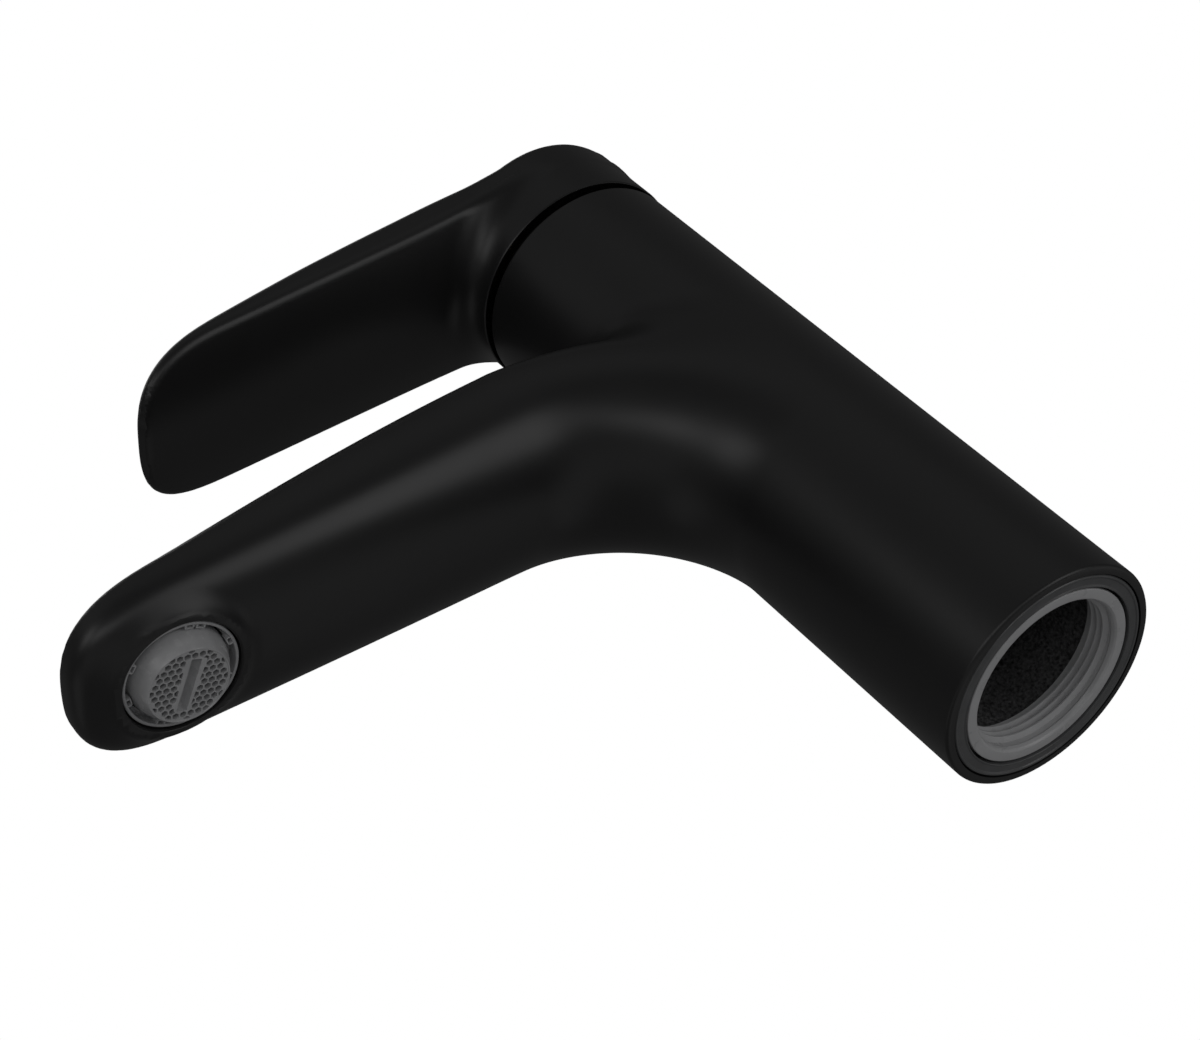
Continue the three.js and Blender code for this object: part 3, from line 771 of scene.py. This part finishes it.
@dataclass
class Casting:
    """The body: column and spout in one skin, open at the base and at the top for the cartridge."""

    radius: float = 23.0
    height: float = 141.1
    base_edge: float = 0.7
    top_edge: float = 0.4
    seal_seat: float = 21.3
    seal_height: float = 3.2
    ring_seat: float = 18.4
    ring_height: float = 8.2
    cavity_radius: float = 17.4
    floor_bottom: float = 84.0
    floor_top: float = 98.0
    inlet_radius: float = 4.3
    inlet_x: float = 6.9
    inlet_y: float = 4.1
    cartridge_bore: float = 17.7
    nut_bore: float = 19.2
    nut_seat: float = 126.0
    crease: float = 10.0
    flank: float = 40.0
    voxel: float = 0.95
    land_radius: float = 11.9
    land_y: float = -126.0
    land_z: float = 79.4
    land_tilt: float = math.radians(-2)
    spout: Spout = field(default_factory=Spout)

    def __post_init__(self) -> None:
        """Works out the axes of the land round the aerator."""
        c, s = math.cos(self.land_tilt), math.sin(self.land_tilt)
        self.land_axes = np.array([[1, 0, 0], [0, c, -s], [0, s, c]])

    def skin(self, points: Array) -> Sample:
        """Distance and direction of the body's outside, with the flat land round the aerator."""
        whole = joined(column(points, self.radius), self.spout.sample(points), self.crease, self.flank)
        local = (points - np.array((0.0, self.land_y, self.land_z))) @ self.land_axes
        side, side_way = column(local, self.land_radius)
        face_way = np.tile((0.0, 0.0, -1.0), (len(points), 1))
        land, way = cut((side, side_way), (0.3 - local[:, 2], face_way), 1.5)
        near = (np.hypot(local[:, 0], local[:, 1]) < self.land_radius + 6) & (local[:, 2] < 4)
        padded = joined(whole, (land, way @ self.land_axes.T), 4.5, 25.0)
        return np.where(near, padded[0], whole[0]), np.where(near[:, None], padded[1], whole[1])

    def corner(self, edge: float, level: float, way: int) -> list[tuple[float, float]]:
        """The places of a rounded outer edge, from the wall to the end face.

        Args:
            edge: Radius of the rounding.
            level: Height of the end face.
            way: 1 if the end face is above the wall, or -1.

        Returns:
            The places, as radius and height.
        """
        turns = [math.radians(a) for a in (22.5, 45, 67.5, 90)]
        return [(self.radius - edge * (1 - math.cos(a)), level - way * edge * (1 - math.sin(a)))
                for a in turns]

    def build(self, pocket: Matrix, pocket_radius: float, pocket_depth: float) -> None:
        """Builds the casting.

        Args:
            pocket: Frame of the aerator's pocket.
            pocket_radius: Its radius.
            pocket_depth: Its depth.
        """
        bm = bmesh.new()
        bmesh.ops.create_cone(bm, cap_ends=True, segments=96, radius1=self.radius, radius2=self.radius,
                              depth=self.height + 8, matrix=Matrix.Translation((0, 0, self.height / 2)))
        self.spout.rough(bm)
        bm = even_skin(bm, self.voxel)
        relax(bm, self.skin, 3)
        bottom = trim(bm, self.base_edge, False, 60)
        top = trim(bm, self.height - self.top_edge, True, 60)
        bore(bm, pocket, self.skin, pocket_radius, 0.35, pocket_depth)
        outside = set(bm.faces)
        bottom = follow(bm, bottom, self.corner(self.base_edge, 0.0, -1))
        bottom = follow(bm, bottom, [(self.seal_seat, 0), (self.seal_seat, self.seal_height)])
        top = follow(bm, top, self.corner(self.top_edge, self.height, 1))
        outside |= set(bm.faces)
        bottom = follow(bm, bottom, [
            (self.ring_seat, self.seal_height), (self.ring_seat, self.ring_height),
            (self.cavity_radius, self.ring_height), (self.cavity_radius, self.floor_bottom),
        ])
        top = follow(bm, top, [
            (self.nut_bore, self.height), (self.nut_bore, self.nut_seat),
            (self.cartridge_bore, self.nut_seat), (self.cartridge_bore, self.floor_top),
        ])
        self.floors(bm, bottom, top)
        for face in bm.faces:
            face.material_index = 0 if face in outside else 1
        finished(bm, "body_casting", [BLACK_COATING, RAW_CAST], "body", ["body_shell"], skin=self.skin)

    def floors(
        self, bm: bmesh.types.BMesh, bottom: list[bmesh.types.BMEdge], top: list[bmesh.types.BMEdge],
    ) -> None:
        """Closes the two floors of the plate between the cavities, with the hoses' inlets through it.

        Args:
            bm: The mesh.
            bottom: The lower floor's outline.
            top: The upper floor's outline.
        """
        for edges, level in ((bottom, self.floor_bottom), (top, self.floor_top)):
            holes: list[bmesh.types.BMEdge] = []
            for side in (-1, 1):
                place = Matrix.Translation((self.inlet_x * side, self.inlet_y, level))
                ring = bmesh.ops.create_circle(bm, cap_ends=False, segments=32, radius=self.inlet_radius,
                                               matrix=place)["verts"]
                holes += list({e for v in ring for e in v.link_edges})
            bmesh.ops.triangle_fill(bm, use_beauty=True, edges=edges + holes)
        for side in (-1, 1):
            centre = Vector((self.inlet_x * side, self.inlet_y))
            rims = [e for e in open_edges(bm)
                    if (e.verts[0].co.xy - centre).length < self.inlet_radius + 0.1]
            bmesh.ops.bridge_loops(bm, edges=rims)


# ---- handle ---------------------------------------------------------------------------------------


@dataclass
class Handle:
    """The cap and its flat lever, in one skin, hollowed by a sphere about the pivot."""

    radius: float = 23.3
    seam: float = 143.0
    pivot: float = 124.0
    cavity: float = 29.9
    edge: float = 0.35
    tip: float = -102.0
    end_start: float = -80.0
    root_width: float = 19.9
    tip_width: float = 17.9
    flare: float = 1.6
    root_bottom: float = 152.0
    tip_bottom: float = 138.9
    root_crown: float = 4.2
    tip_crown: float = 2.7
    fillet: float = 6.5
    flank: float = 30.0
    lower_edge: float = 1.8
    upper_edge: float = 2.4
    voxel: float = 0.7
    screw_height: float = 154.5
    plug_radius: float = 3.6
    plug_gap: float = 0.15
    rough_top: float = 161.2
    slab_end: float = 14.0

    def __post_init__(self) -> None:
        """Tabulates the top's height along the lever, from the back of the cap to the tip."""
        places = np.array([-106, -102, -95, -87, -75.6, -60, -44.5, -28, -14, 0, 12, 26])
        heights = np.array([141.2, 142.9, 145.3, 147.6, 150.5, 154.2, 157.2, 160.0, 161.4, 162.0, 162.1,
                            161.6])
        self.top = Table(-106, 26, lambda place: np.interp(place, places, heights), 8)

    def plan(self, points: Array) -> Array:
        """A value that is zero on the lever's outline, seen from above."""
        x, y, _ = points.T
        t = y / self.tip
        width = self.root_width + (self.tip_width - self.root_width) * t
        width = width + self.flare * np.clip(1 - t / 0.4, 0, 1) ** 2 - 0.03 * np.maximum(y + 8, 0) ** 2
        past = np.maximum((self.end_start - y) / (self.end_start - self.tip), 0)
        side = np.abs(x) / np.maximum(width, 3)
        return (np.maximum(side**2.9 + past**2.9, 1e-12) ** (1 / 2.9) - 1) * 10

    def under(self, points: Array) -> Array:
        """A value that is zero on the lever's crowned underside."""
        x, y, z = points.T
        t = np.clip(y / self.tip, -0.1, 1.1)
        across = x / (self.root_width + (self.tip_width - self.root_width) * t)
        bottom = self.root_bottom + (self.tip_bottom - self.root_bottom) * t
        crown = self.root_crown + (self.tip_crown - self.root_crown) * t
        return bottom + crown * np.minimum(across * across, 1.4) - z

    def over(self, points: Array) -> Array:
        """A value that is zero on the top face."""
        x, y, z = points.T
        return z - self.top(y) + 0.6 * (x / self.radius) ** 2

    def skin(self, points: Array) -> Sample:
        """Distance and direction of the handle's outside."""
        slab = cut(measured(self.plan, points), measured(self.under, points), self.lower_edge)
        back_way = np.tile((0.0, 1.0, 0.0), (len(points), 1))
        slab = cut(slab, (points[:, 1] - self.slab_end, back_way), 2.0)
        whole = joined(column(points, self.radius), slab, self.fillet, self.flank)
        return cut(whole, measured(self.over, points), self.upper_edge)

    def build(self) -> None:
        """Builds the handle and the plug over its screw."""
        bm = bmesh.new()
        bottom, top = self.seam - 4, self.rough_top
        bmesh.ops.create_cone(bm, cap_ends=True, segments=96, radius1=self.radius, radius2=self.radius,
                              depth=top - bottom, matrix=Matrix.Translation((0, 0, (top + bottom) / 2)))
        self.rough_lever(bm)
        bm = even_skin(bm, self.voxel)
        relax(bm, self.skin, 4)
        rim = trim(bm, self.seam + self.edge, False, 27)
        back = Matrix(((1, 0, 0, 0), (0, 0, -1, self.radius), (0, 1, 0, self.screw_height), (0, 0, 0, 1)))
        bore(bm, back, self.skin, self.plug_radius + self.plug_gap, 0.2, 6.0)
        self.hollow(bm, rim)
        finished(bm, "handle_lever", [BLACK_COATING], "lever", ["handle"], skin=self.skin)
        self.plug(back)

    def rough_lever(self, bm: bmesh.types.BMesh) -> None:
        """Adds a plain bar that follows the lever, for its skin to start from."""
        bar = bmesh.ops.create_cube(bm, size=1)["verts"]
        edges = list({e for v in bar for e in v.link_edges})
        bmesh.ops.subdivide_edges(bm, edges=edges, cuts=23, use_grid_fill=True)
        for v in [v for v in bm.verts if max(abs(c) for c in v.co) < 0.501]:
            y = 0.985 * self.tip * (0.5 - v.co.y)
            t = y / self.tip
            past = min(max((self.end_start - y) / (self.end_start - self.tip), 0), 0.95)
            width = self.root_width + (self.tip_width - self.root_width) * t
            width += self.flare * max(0, 1 - t / 0.4) ** 2
            across = 2 * v.co.x
            low = self.root_bottom + (self.tip_bottom - self.root_bottom) * t
            low += (self.root_crown + (self.tip_crown - self.root_crown) * t) * across * across + 0.3
            high = float(self.top(y)) - 0.3
            v.co = (across * width * (1 - past**2.9) ** (1 / 2.9), y, low + (high - low) * (v.co.z + 0.5))

    def hollow(self, bm: bmesh.types.BMesh, rim: list[bmesh.types.BMEdge]) -> None:
        """Carries the cap's rim over its chamfer and up the sphere inside.

        Args:
            bm: The mesh.
            rim: The rim's edges.
        """
        turns = [math.radians(a) for a in (30, 60, 90)]
        lip = [(self.radius - 0.25 * (1 - math.cos(a)), self.seam + self.edge * (1 - math.sin(a)))
               for a in turns]
        inner = [self.cavity * math.sin(math.radians(a)) for a in (49, 42, 35, 28, 21, 14, 7, 2)]
        dome = [(r, self.pivot + math.sqrt(self.cavity**2 - r * r)) for r in inner]
        close(bm, follow(bm, rim, lip + dome))

    def plug(self, back: Matrix) -> None:
        """Builds the round plug that covers the screw, in the back of the cap."""
        bm = bmesh.new()
        outer = [(0.01, 0.75), (2.2, 0.72), (3.2, 0.78), (self.plug_radius, 1.1), (self.plug_radius, 3.6),
                 (0.01, 3.6)]
        revolve(bm, outer, SMALL_ROUND)
        finished(bm, "screw_plug", [INDICATOR], "lever", ["indicator_plug"], frame=back)


# ---- base -----------------------------------------------------------------------------------------


@dataclass
class Base:
    """The sealing ring and the threaded ring in the open base."""

    seal_outer: float = 21.05
    seal_inner: float = 18.6
    seal_top: float = 2.9
    ring_outer: float = 18.1
    ring_root: float = 15.75
    ring_crest: float = 14.85
    ring_face: float = 0.3
    ring_top: float = 7.6
    pitch: float = 1.45
    turns: int = 3

    def build(self) -> None:
        """Builds both rings."""
        self.seal()
        self.threaded_ring()

    def seal(self) -> None:
        """Builds the sealing ring, with a raised lip round its outside."""
        outer, inner, top = self.seal_outer, self.seal_inner, self.seal_top
        profile = [
            (inner, top), (inner, 0.12), (inner + 0.12, 0.02), (inner + 0.4, 0.24), (outer - 0.75, 0.26),
            (outer - 0.5, 0.02), (outer - 0.18, 0.02), (outer, 0.3), (outer, top),
        ]
        bm = bmesh.new()
        revolve(bm, rounded(profile, {1: 0.05, 2: 0.05, 3: 0.15, 4: 0.14, 5: 0.14, 6: 0.12, 7: 0.12}), 192)
        finished(bm, "base_seal_ring", [GREY_RUBBER], "body", ["base_seal"])

    def threaded_ring(self) -> None:
        """Builds the ring with its helical thread and the chamfer that leads into it."""
        face, root = self.ring_face, self.ring_root
        profile = [
            (self.ring_outer, self.ring_top), (self.ring_outer, face), (16.1, face), (root, face + 0.35),
            (root - 0.25, face + 1.0), (root, face + 1.3), (root, self.ring_top),
        ]
        bm = bmesh.new()
        revolve(bm, rounded(profile, {1: 0.25, 2: 0.3, 3: 0.3, 4: 0.2}), 192)
        self.thread(bm)
        finished(bm, "fixing_ring", [GREY_PLASTIC], "body", ["thread_ring"])

    def thread(self, bm: bmesh.types.BMesh) -> None:
        """Adds the helical ridge, which fades into the wall at both ends."""
        crest, root, half = self.ring_crest, self.ring_root + 0.1, 0.5 * self.pitch
        start = self.ring_face + 1.5
        places = [(root, 0), (crest + 0.25, half * 0.62), (crest, half * 0.85), (crest, half * 1.15),
                  (crest + 0.25, half * 1.38), (root, 2 * half)]
        verts = [bm.verts.new((radius, 0, start + height)) for radius, height in places]
        edges = [bm.edges.new(pair) for pair in zip(verts, verts[1:] + verts[:1])]
        steps = 72 * self.turns
        made = bmesh.ops.spin(bm, geom=verts + edges, cent=(0, 0, 0), axis=(0, 0, 1),
                              dvec=(0, 0, self.pitch / 72), angle=2 * math.pi * self.turns, steps=steps)
        ends = [verts, [g for g in made["geom_last"] if isinstance(g, bmesh.types.BMVert)]]
        for end in ends:
            for v in end:
                angle = math.atan2(v.co.y, v.co.x)
                v.co.x, v.co.y = root * math.cos(angle), root * math.sin(angle)


# ---- aerator --------------------------------------------------------------------------------------


@dataclass
class Aerator:
    """The concealed swivel aerator, worked in its own frame: Z into the spout, its mouth at zero."""

    y: float = -126.0
    z: float = 79.4
    tilt: float = math.radians(-2)
    pocket_radius: float = 11.3
    pocket_depth: float = 9.2
    cage_radius: float = 11.0
    rim_inner: float = 10.35
    mouth: float = 0.5
    cage_top: float = 7.2
    ball_radius: float = 9.4
    ball_centre: float = 3.1
    ball_top: float = 5.8
    face: float = -2.6
    face_radius: float = 7.45
    pitch: float = 1.42
    lattice_turn: float = 97.0
    wall: float = 0.26
    slot_turn: float = 19.0
    slot_length: float = 10.8
    slot_width: float = 2.0
    least_cell: float = 0.4
    pockets: tuple[float, ...] = (-102.0, -60.6, 12.5, 25.0, 69.5, 117.0, 160.0, 205.0)

    @property
    def frame(self) -> Matrix:
        """The aerator's frame."""
        return Matrix.Translation((0, self.y, self.z)) @ Matrix.Rotation(self.tilt, 4, "X")

    def build(self) -> None:
        """Builds the cage, the ball and the outlet face."""
        self.cage()
        self.ball()
        self.honeycomb()

    def cage(self) -> None:
        """Builds the ring round the mouth, with its groove and the small square pockets in it."""
        outer, inner, seat = self.cage_radius, self.rim_inner, self.ball_radius + 0.3
        profile = [
            (outer, self.cage_top), (outer, self.mouth), (inner, self.mouth), (inner, 3.1),
            (seat + 0.05, 3.1), (seat + 0.05, self.cage_top),
        ]
        bm = bmesh.new()
        revolve(bm, rounded(profile, {1: 0.28, 2: 0.22}))
        for angle in self.pockets:
            self.square_pocket(bm, math.radians(angle))
        finished(bm, "aerator_cage_ring", [AERATOR_PLASTIC], "body", ["aerator_cage"], frame=self.frame)

    def square_pocket(self, bm: bmesh.types.BMesh, angle: float) -> None:
        """Adds one square pocket to the groove: two ribs and the thin wall between them.

        Args:
            bm: The cage's mesh.
            angle: Where it is, round the cage.
        """
        turn = Matrix.Rotation(angle, 4, "Z")
        reach = self.rim_inner - self.ball_radius - 0.25
        middle = self.rim_inner - reach / 2 + 0.1
        bars = [
            ((reach + 0.1, 0.3, 2.3), (middle, 0.75, 1.75)), ((reach + 0.1, 0.3, 2.3), (middle, -0.75, 1.75)),
            ((0.26, 1.6, 1.5), (self.ball_radius + 0.2, 0, 1.4)),
        ]
        for size, centre in bars:
            shape = turn @ Matrix.Translation(centre) @ Matrix.Diagonal((*size, 1))
            bar = bmesh.ops.create_cube(bm, size=1, matrix=shape)["verts"]
            edges = list({e for v in bar for e in v.link_edges})
            bmesh.ops.bevel(bm, geom=edges, offset=0.06, segments=2, profile=0.5, affect="EDGES", material=-1)

    def ball(self) -> None:
        """Builds the swivel ball: a hollow band of a sphere that ends in a thin rim."""
        centre, radius = self.ball_centre, self.ball_radius
        low = math.asin((self.face + 0.9 - centre) / radius)
        high = math.asin((self.ball_top - centre) / radius)
        turns = np.linspace(low, high, 16)
        band = [(radius * math.cos(a), centre + radius * math.sin(a)) for a in turns]
        rim = self.face_radius + 0.28
        inner = self.face_radius - 0.02
        profile = [
            (inner, self.face + 0.12), (inner + 0.08, self.face), (rim - 0.06, self.face),
            (rim + 0.06, self.face + 0.14), *band, (inner, self.ball_top),
        ]
        bm = bmesh.new()
        revolve(bm, profile)
        finished(bm, "swivel_ball", [AERATOR_PLASTIC], "aerator_swivel", ["aerator_ball"], frame=self.frame)

    def cells(self) -> list[list[Vector]]:
        """The outlines of the hexagonal cells, clipped to the rim and to the borders of the coin slot."""
        turn = Matrix.Rotation(math.radians(self.lattice_turn), 4, "Z")
        corners = [Vector((math.sin(a), math.cos(a), 0)) for a in (math.radians(60 * i) for i in range(6))]
        radius = (self.pitch - self.wall) / math.sqrt(3)
        found = []
        for row in range(-7, 8):
            for cell in range(-7, 8):
                centre = turn @ Vector(((cell + 0.5 * (row % 2)) * self.pitch, row * self.pitch * 0.866, 0))
                if centre.length > self.face_radius + 0.3:
                    continue
                side = (Matrix.Rotation(-math.radians(self.slot_turn), 4, "Z") @ centre).y
                outline = []
                for start, end in zip(corners, corners[1:] + corners[:1]):
                    places = [centre + radius * (turn @ start.lerp(end, t)) for t in (0, 0.33, 0.67)]
                    outline += [self.clipped(place, side) for place in places]
                if area(outline) > self.least_cell:
                    found.append(outline)
        return found

    def clipped(self, point: Vector, side: float) -> Vector:
        """Moves a point inside the rim and off the borders of the coin slot.

        Args:
            point: The point.
            side: Its sign tells which side of the slot the point belongs to.

        Returns:
            The moved point.
        """
        point = point * min(1.0, (self.face_radius - 0.12) / max(point.length, 1e-6))
        slot = Matrix.Rotation(math.radians(self.slot_turn), 4, "Z")
        local = slot.inverted() @ point
        if abs(local.x) < self.slot_length / 2 + 0.1:
            local.y = math.copysign(max(self.border(local.x), local.y * math.copysign(1, side)), side)
        return slot @ local

    def border(self, along: float) -> float:
        """Half width of the slot with its flat borders, which flare towards one end."""
        return self.slot_width / 2 + 0.75 + 0.05 * along

    def slot_outline(self, inset: float = 0.0) -> list[Vector]:
        """The coin slot's outline with rounded corners, drawn in by an inset."""
        slot = Matrix.Rotation(math.radians(self.slot_turn), 4, "Z")
        x, y = self.slot_length / 2 - inset, self.slot_width / 2 - inset
        corners = rounded([(-x, -y), (x, -y), (x, y), (-x, y)], {0: 0.3, 1: 0.3, 2: 0.3, 3: 0.3})
        return [slot @ Vector((*place, 0)) for place in corners]

    def honeycomb(self) -> None:
        """Builds the outlet face: a slotted plate pierced by deep hexagonal cells, their floors dark with
        painted shade.
        """
        top, depth = self.face + 0.12, 2.5
        turns = [2 * math.pi * i / ROUND for i in range(ROUND)]
        rim = [Vector((self.face_radius * math.cos(a), self.face_radius * math.sin(a), 0)) for a in turns]
        bm = bmesh.new()
        pierced_plate(bm, [rim, self.slot_outline(), *self.cells()])
        edges = open_edges(bm)
        outer = [e for e in edges if e.verts[0].co.length > self.face_radius - 1e-3]
        slot = [e for e in edges if self.in_slot(e)]
        rest = [e for e in edges if e not in {*outer, *slot}]
        follow(bm, outer, [(self.face_radius, depth + 0.3)])
        floors = bmesh.ops.edgeloop_fill(bm, edges=sink(bm, rest, depth))["faces"]
        for inset, drop in ((0.03, 0.8), (0.2, 0.6), (0.35, 0.3)):
            slot = sink(bm, slot, drop)
            for v in {v for e in slot for v in e.verts}:
                self.draw_in(v, inset)
        close(bm, slot)
        bmesh.ops.translate(bm, vec=(0, 0, top), verts=bm.verts)
        # The cells' floors take the near-black finish, which is painted shade for the depth of the cells.
        for face in floors:
            face.material_index = 1
        finished(bm, "outlet_honeycomb", [AERATOR_PLASTIC, AERATOR_PAINTED_SHADE], "aerator_swivel", ["outlet_face"],
                 frame=self.frame, outward=(0, 0, -1))

    def in_slot(self, edge: bmesh.types.BMEdge) -> bool:
        """True if an edge lies on the coin slot's outline."""
        slot = Matrix.Rotation(-math.radians(self.slot_turn), 4, "Z")
        reach, half = self.slot_length / 2 + 1e-3, self.slot_width / 2 + 1e-3
        return all(abs((slot @ v.co).x) < reach and abs((slot @ v.co).y) < half for v in edge.verts)

    def draw_in(self, v: bmesh.types.BMVert, inset: float) -> None:
        """Moves a vertex of the coin slot's outline towards its middle line."""
        slot = Matrix.Rotation(math.radians(self.slot_turn), 4, "Z")
        local = slot.inverted() @ v.co
        local.x -= math.copysign(min(inset, abs(local.x)), local.x)
        local.y -= math.copysign(min(inset, abs(local.y)), local.y)
        v.co = slot @ local


# ---- dome cover -----------------------------------------------------------------------------------


@dataclass
class Dome:
    """The domed cover under the cap, seen in the seam and when the lever lifts."""

    pivot: float = 124.0
    outer: float = 28.3
    wall: float = 1.5
    rim: float = 22.3
    hole: float = 13.8
    skirt_outer: float = 18.9
    skirt_inner: float = 17.4
    skirt_bottom: float = 137.0
    rim_bottom: float = 141.4

    def build(self) -> None:
        """Builds the dome with its skirt."""
        inner = self.outer - self.wall
        high = [math.acos(r / self.outer) for r in np.linspace(self.rim, self.hole, 12)]
        low = [math.acos(r / inner) for r in np.linspace(self.hole, self.skirt_inner, 7)]
        profile = [(self.outer * math.cos(a), self.pivot + self.outer * math.sin(a)) for a in high]
        profile += [(inner * math.cos(a), self.pivot + inner * math.sin(a)) for a in low]
        profile += [(self.skirt_inner, self.skirt_bottom), (self.skirt_outer, self.skirt_bottom),
                    (self.skirt_outer, self.rim_bottom), (self.rim, self.rim_bottom)]
        bm = bmesh.new()
        revolve(bm, profile)
        finished(bm, "dome_shell", [BLACK_PLASTIC], "body", ["dome_cover"])


# ---- studio ---------------------------------------------------------------------------------------


@dataclass(frozen=True)
class SoftLight:
    """A soft rectangular lamp round the object, placed as the camera sees it.

    Its direction is given as rightwards, upwards and towards the camera, from the object's middle.
    """

    name: str
    direction: tuple[float, float, float]
    width: float
    height: float
    power: float
    distance: float = 1.0

    def build(self, camera: Matrix, middle: Vector) -> None:
        """Adds the lamp.

        Args:
            camera: The camera's axes, as a 3 by 3 matrix.
            middle: The point it faces.
        """
        data = bpy.data.lights.new(self.name, "AREA")
        data.shape = "RECTANGLE"
        data.size, data.size_y, data.energy = self.width, self.height, self.power
        lamp = bpy.data.objects.new(self.name, data)
        out = (camera @ Vector(self.direction)).normalized()
        upright = camera.col[1] if abs(out.dot(camera.col[1])) < 0.9 else camera.col[2]
        side = upright.cross(out).normalized()
        turn = Matrix((side, out.cross(side), out)).transposed()
        lamp.matrix_world = Matrix.Translation(middle + self.distance * out) @ turn.to_4x4()
        bpy.context.scene.collection.objects.link(lamp)


@dataclass
class Studio:
    """The camera, the pale floor, the white surround and the soft lamps."""

    camera_place: tuple[float, float, float] = (0.31930, -0.28309, -0.24463)
    camera_right: tuple[float, float, float] = (0.04369, 0.81874, -0.57250)
    camera_up: tuple[float, float, float] = (0.78220, 0.32845, 0.52942)
    lens: float = 84.0
    middle: tuple[float, float, float] = (0.0, -0.05, 0.08)
    surround: float = 0.073
    lamps: tuple[SoftLight, ...] = (
        SoftLight("right_box", (0.80, 0.30, 0.50), 0.5, 0.7, 1.2),
        SoftLight("right_front", (0.45, 0.25, 0.85), 0.45, 0.35, 0.2),
        SoftLight("front_strip", (0.0, 0.12, 0.99), 0.6, 0.3, 0.5),
        SoftLight("left_front", (-0.35, 0.12, 0.93), 0.4, 0.35, 0.35),
        SoftLight("left_box", (-0.72, 0.25, 0.65), 0.45, 0.45, 0.7),
        SoftLight("top_box", (0.0, 0.98, 0.05), 1.2, 0.6, 0.24),
        SoftLight("top_left", (-0.75, 0.60, 0.10), 0.7, 0.7, 0.16),
        SoftLight("rear_left", (-0.50, 0.40, -0.75), 0.8, 0.5, 0.8),
        SoftLight("low_front", (0.1, -0.60, 0.75), 1.4, 0.6, 0.33),
        SoftLight("low_right", (0.60, -0.75, 0.15), 0.8, 0.5, 0.18),
        SoftLight("low_left", (-0.60, -0.75, 0.20), 0.6, 0.5, 0.15),
        SoftLight("far_right", (0.97, -0.20, -0.05), 0.4, 0.7, 0.22),
    )

    def build(self) -> None:
        """Builds the whole studio."""
        scene = bpy.context.scene
        scene.view_settings.view_transform = "Standard"
        axes = self.camera(scene)
        self.world(scene)
        self.floor(scene)
        for lamp in self.lamps:
            lamp.build(axes, Vector(self.middle))

    def camera(self, scene: bpy.types.Scene) -> Matrix:
        """Adds the camera and returns its axes."""
        data = bpy.data.cameras.new("camera")
        data.lens, data.sensor_width, data.clip_start = self.lens, 36.0, 0.01
        camera = bpy.data.objects.new("camera", data)
        right, up = Vector(self.camera_right).normalized(), Vector(self.camera_up).normalized()
        turn = Matrix((right, up, right.cross(up))).transposed()
        camera.matrix_world = Matrix.Translation(self.camera_place) @ turn.to_4x4()
        scene.collection.objects.link(camera)
        scene.camera = camera
        return turn

    def world(self, scene: bpy.types.Scene) -> None:
        """Adds the surround: white where the camera sees it, dim where it lights the object."""
        world = bpy.data.worlds.new("surround")
        world.use_nodes = True
        scene.world = world
        nodes, links = world.node_tree.nodes, world.node_tree.links
        nodes.clear()
        path, mix = nodes.new("ShaderNodeLightPath"), nodes.new("ShaderNodeMixShader")
        out = nodes.new("ShaderNodeOutputWorld")
        dim, white = nodes.new("ShaderNodeBackground"), nodes.new("ShaderNodeBackground")
        dim.inputs["Strength"].default_value = self.surround
        for shader in (dim, white):
            shader.inputs["Color"].default_value = (1, 1, 1, 1)
        links.new(path.outputs["Is Camera Ray"], mix.inputs["Fac"])
        links.new(dim.outputs[0], mix.inputs[1])
        links.new(white.outputs[0], mix.inputs[2])
        links.new(mix.outputs[0], out.inputs["Surface"])

    def floor(self, scene: bpy.types.Scene) -> None:
        """Adds a pale floor that only shows from above, so that the open base can be seen from below."""
        bm = bmesh.new()
        bmesh.ops.create_grid(bm, x_segments=1, y_segments=1, size=3.0)
        bmesh.ops.translate(bm, vec=(0, 0, -0.0002), verts=bm.verts)
        mesh = bpy.data.meshes.new("floor")
        bm.to_mesh(mesh)
        bm.free()
        floor = bpy.data.objects.new("floor", mesh)
        scene.collection.objects.link(floor)
        paint = bpy.data.materials.new("pale_floor")
        paint.use_nodes = True
        nodes, links = paint.node_tree.nodes, paint.node_tree.links
        shader, out = nodes["Principled BSDF"], nodes["Material Output"]
        shader.inputs["Base Color"].default_value = (0.82, 0.82, 0.82, 1)
        shader.inputs["Roughness"].default_value = 0.9
        clear, mix = nodes.new("ShaderNodeBsdfTransparent"), nodes.new("ShaderNodeMixShader")
        side, path = nodes.new("ShaderNodeNewGeometry"), nodes.new("ShaderNodeLightPath")
        shown = nodes.new("ShaderNodeMath")
        shown.operation = "SUBTRACT"
        shown.use_clamp = True
        links.new(path.outputs["Is Camera Ray"], shown.inputs[0])
        links.new(side.outputs["Backfacing"], shown.inputs[1])
        links.new(shown.outputs[0], mix.inputs["Fac"])
        links.new(clear.outputs[0], mix.inputs[1])
        links.new(shader.outputs[0], mix.inputs[2])
        links.new(mix.outputs[0], out.inputs["Surface"])
        mesh.materials.append(paint)


# ---- assembly -------------------------------------------------------------------------------------


def dress_frame(frame: dict) -> None:
    """Gives each CAD node the finish of its record slot.
    """
    slots = {part["node"]: part["material_slot"] for part in frame["record"]["subparts"]}
    for name, node in frame["nodes"].items():
        node.data.materials.clear()
        node.data.materials.append(FINISHES[slots[name]].material())


def main() -> None:
    """Builds the whole object in order."""
    logging.basicConfig(level=logging.INFO, format="%(name)s: %(message)s")
    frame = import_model()
    dress_frame(frame)
    Studio().build()
    aerator = Aerator()
    Casting().build(aerator.frame, aerator.pocket_radius, aerator.pocket_depth)
    Handle().build()
    Base().build()
    Dome().build()
    aerator.build()


if __name__ == "__main__":
    main()
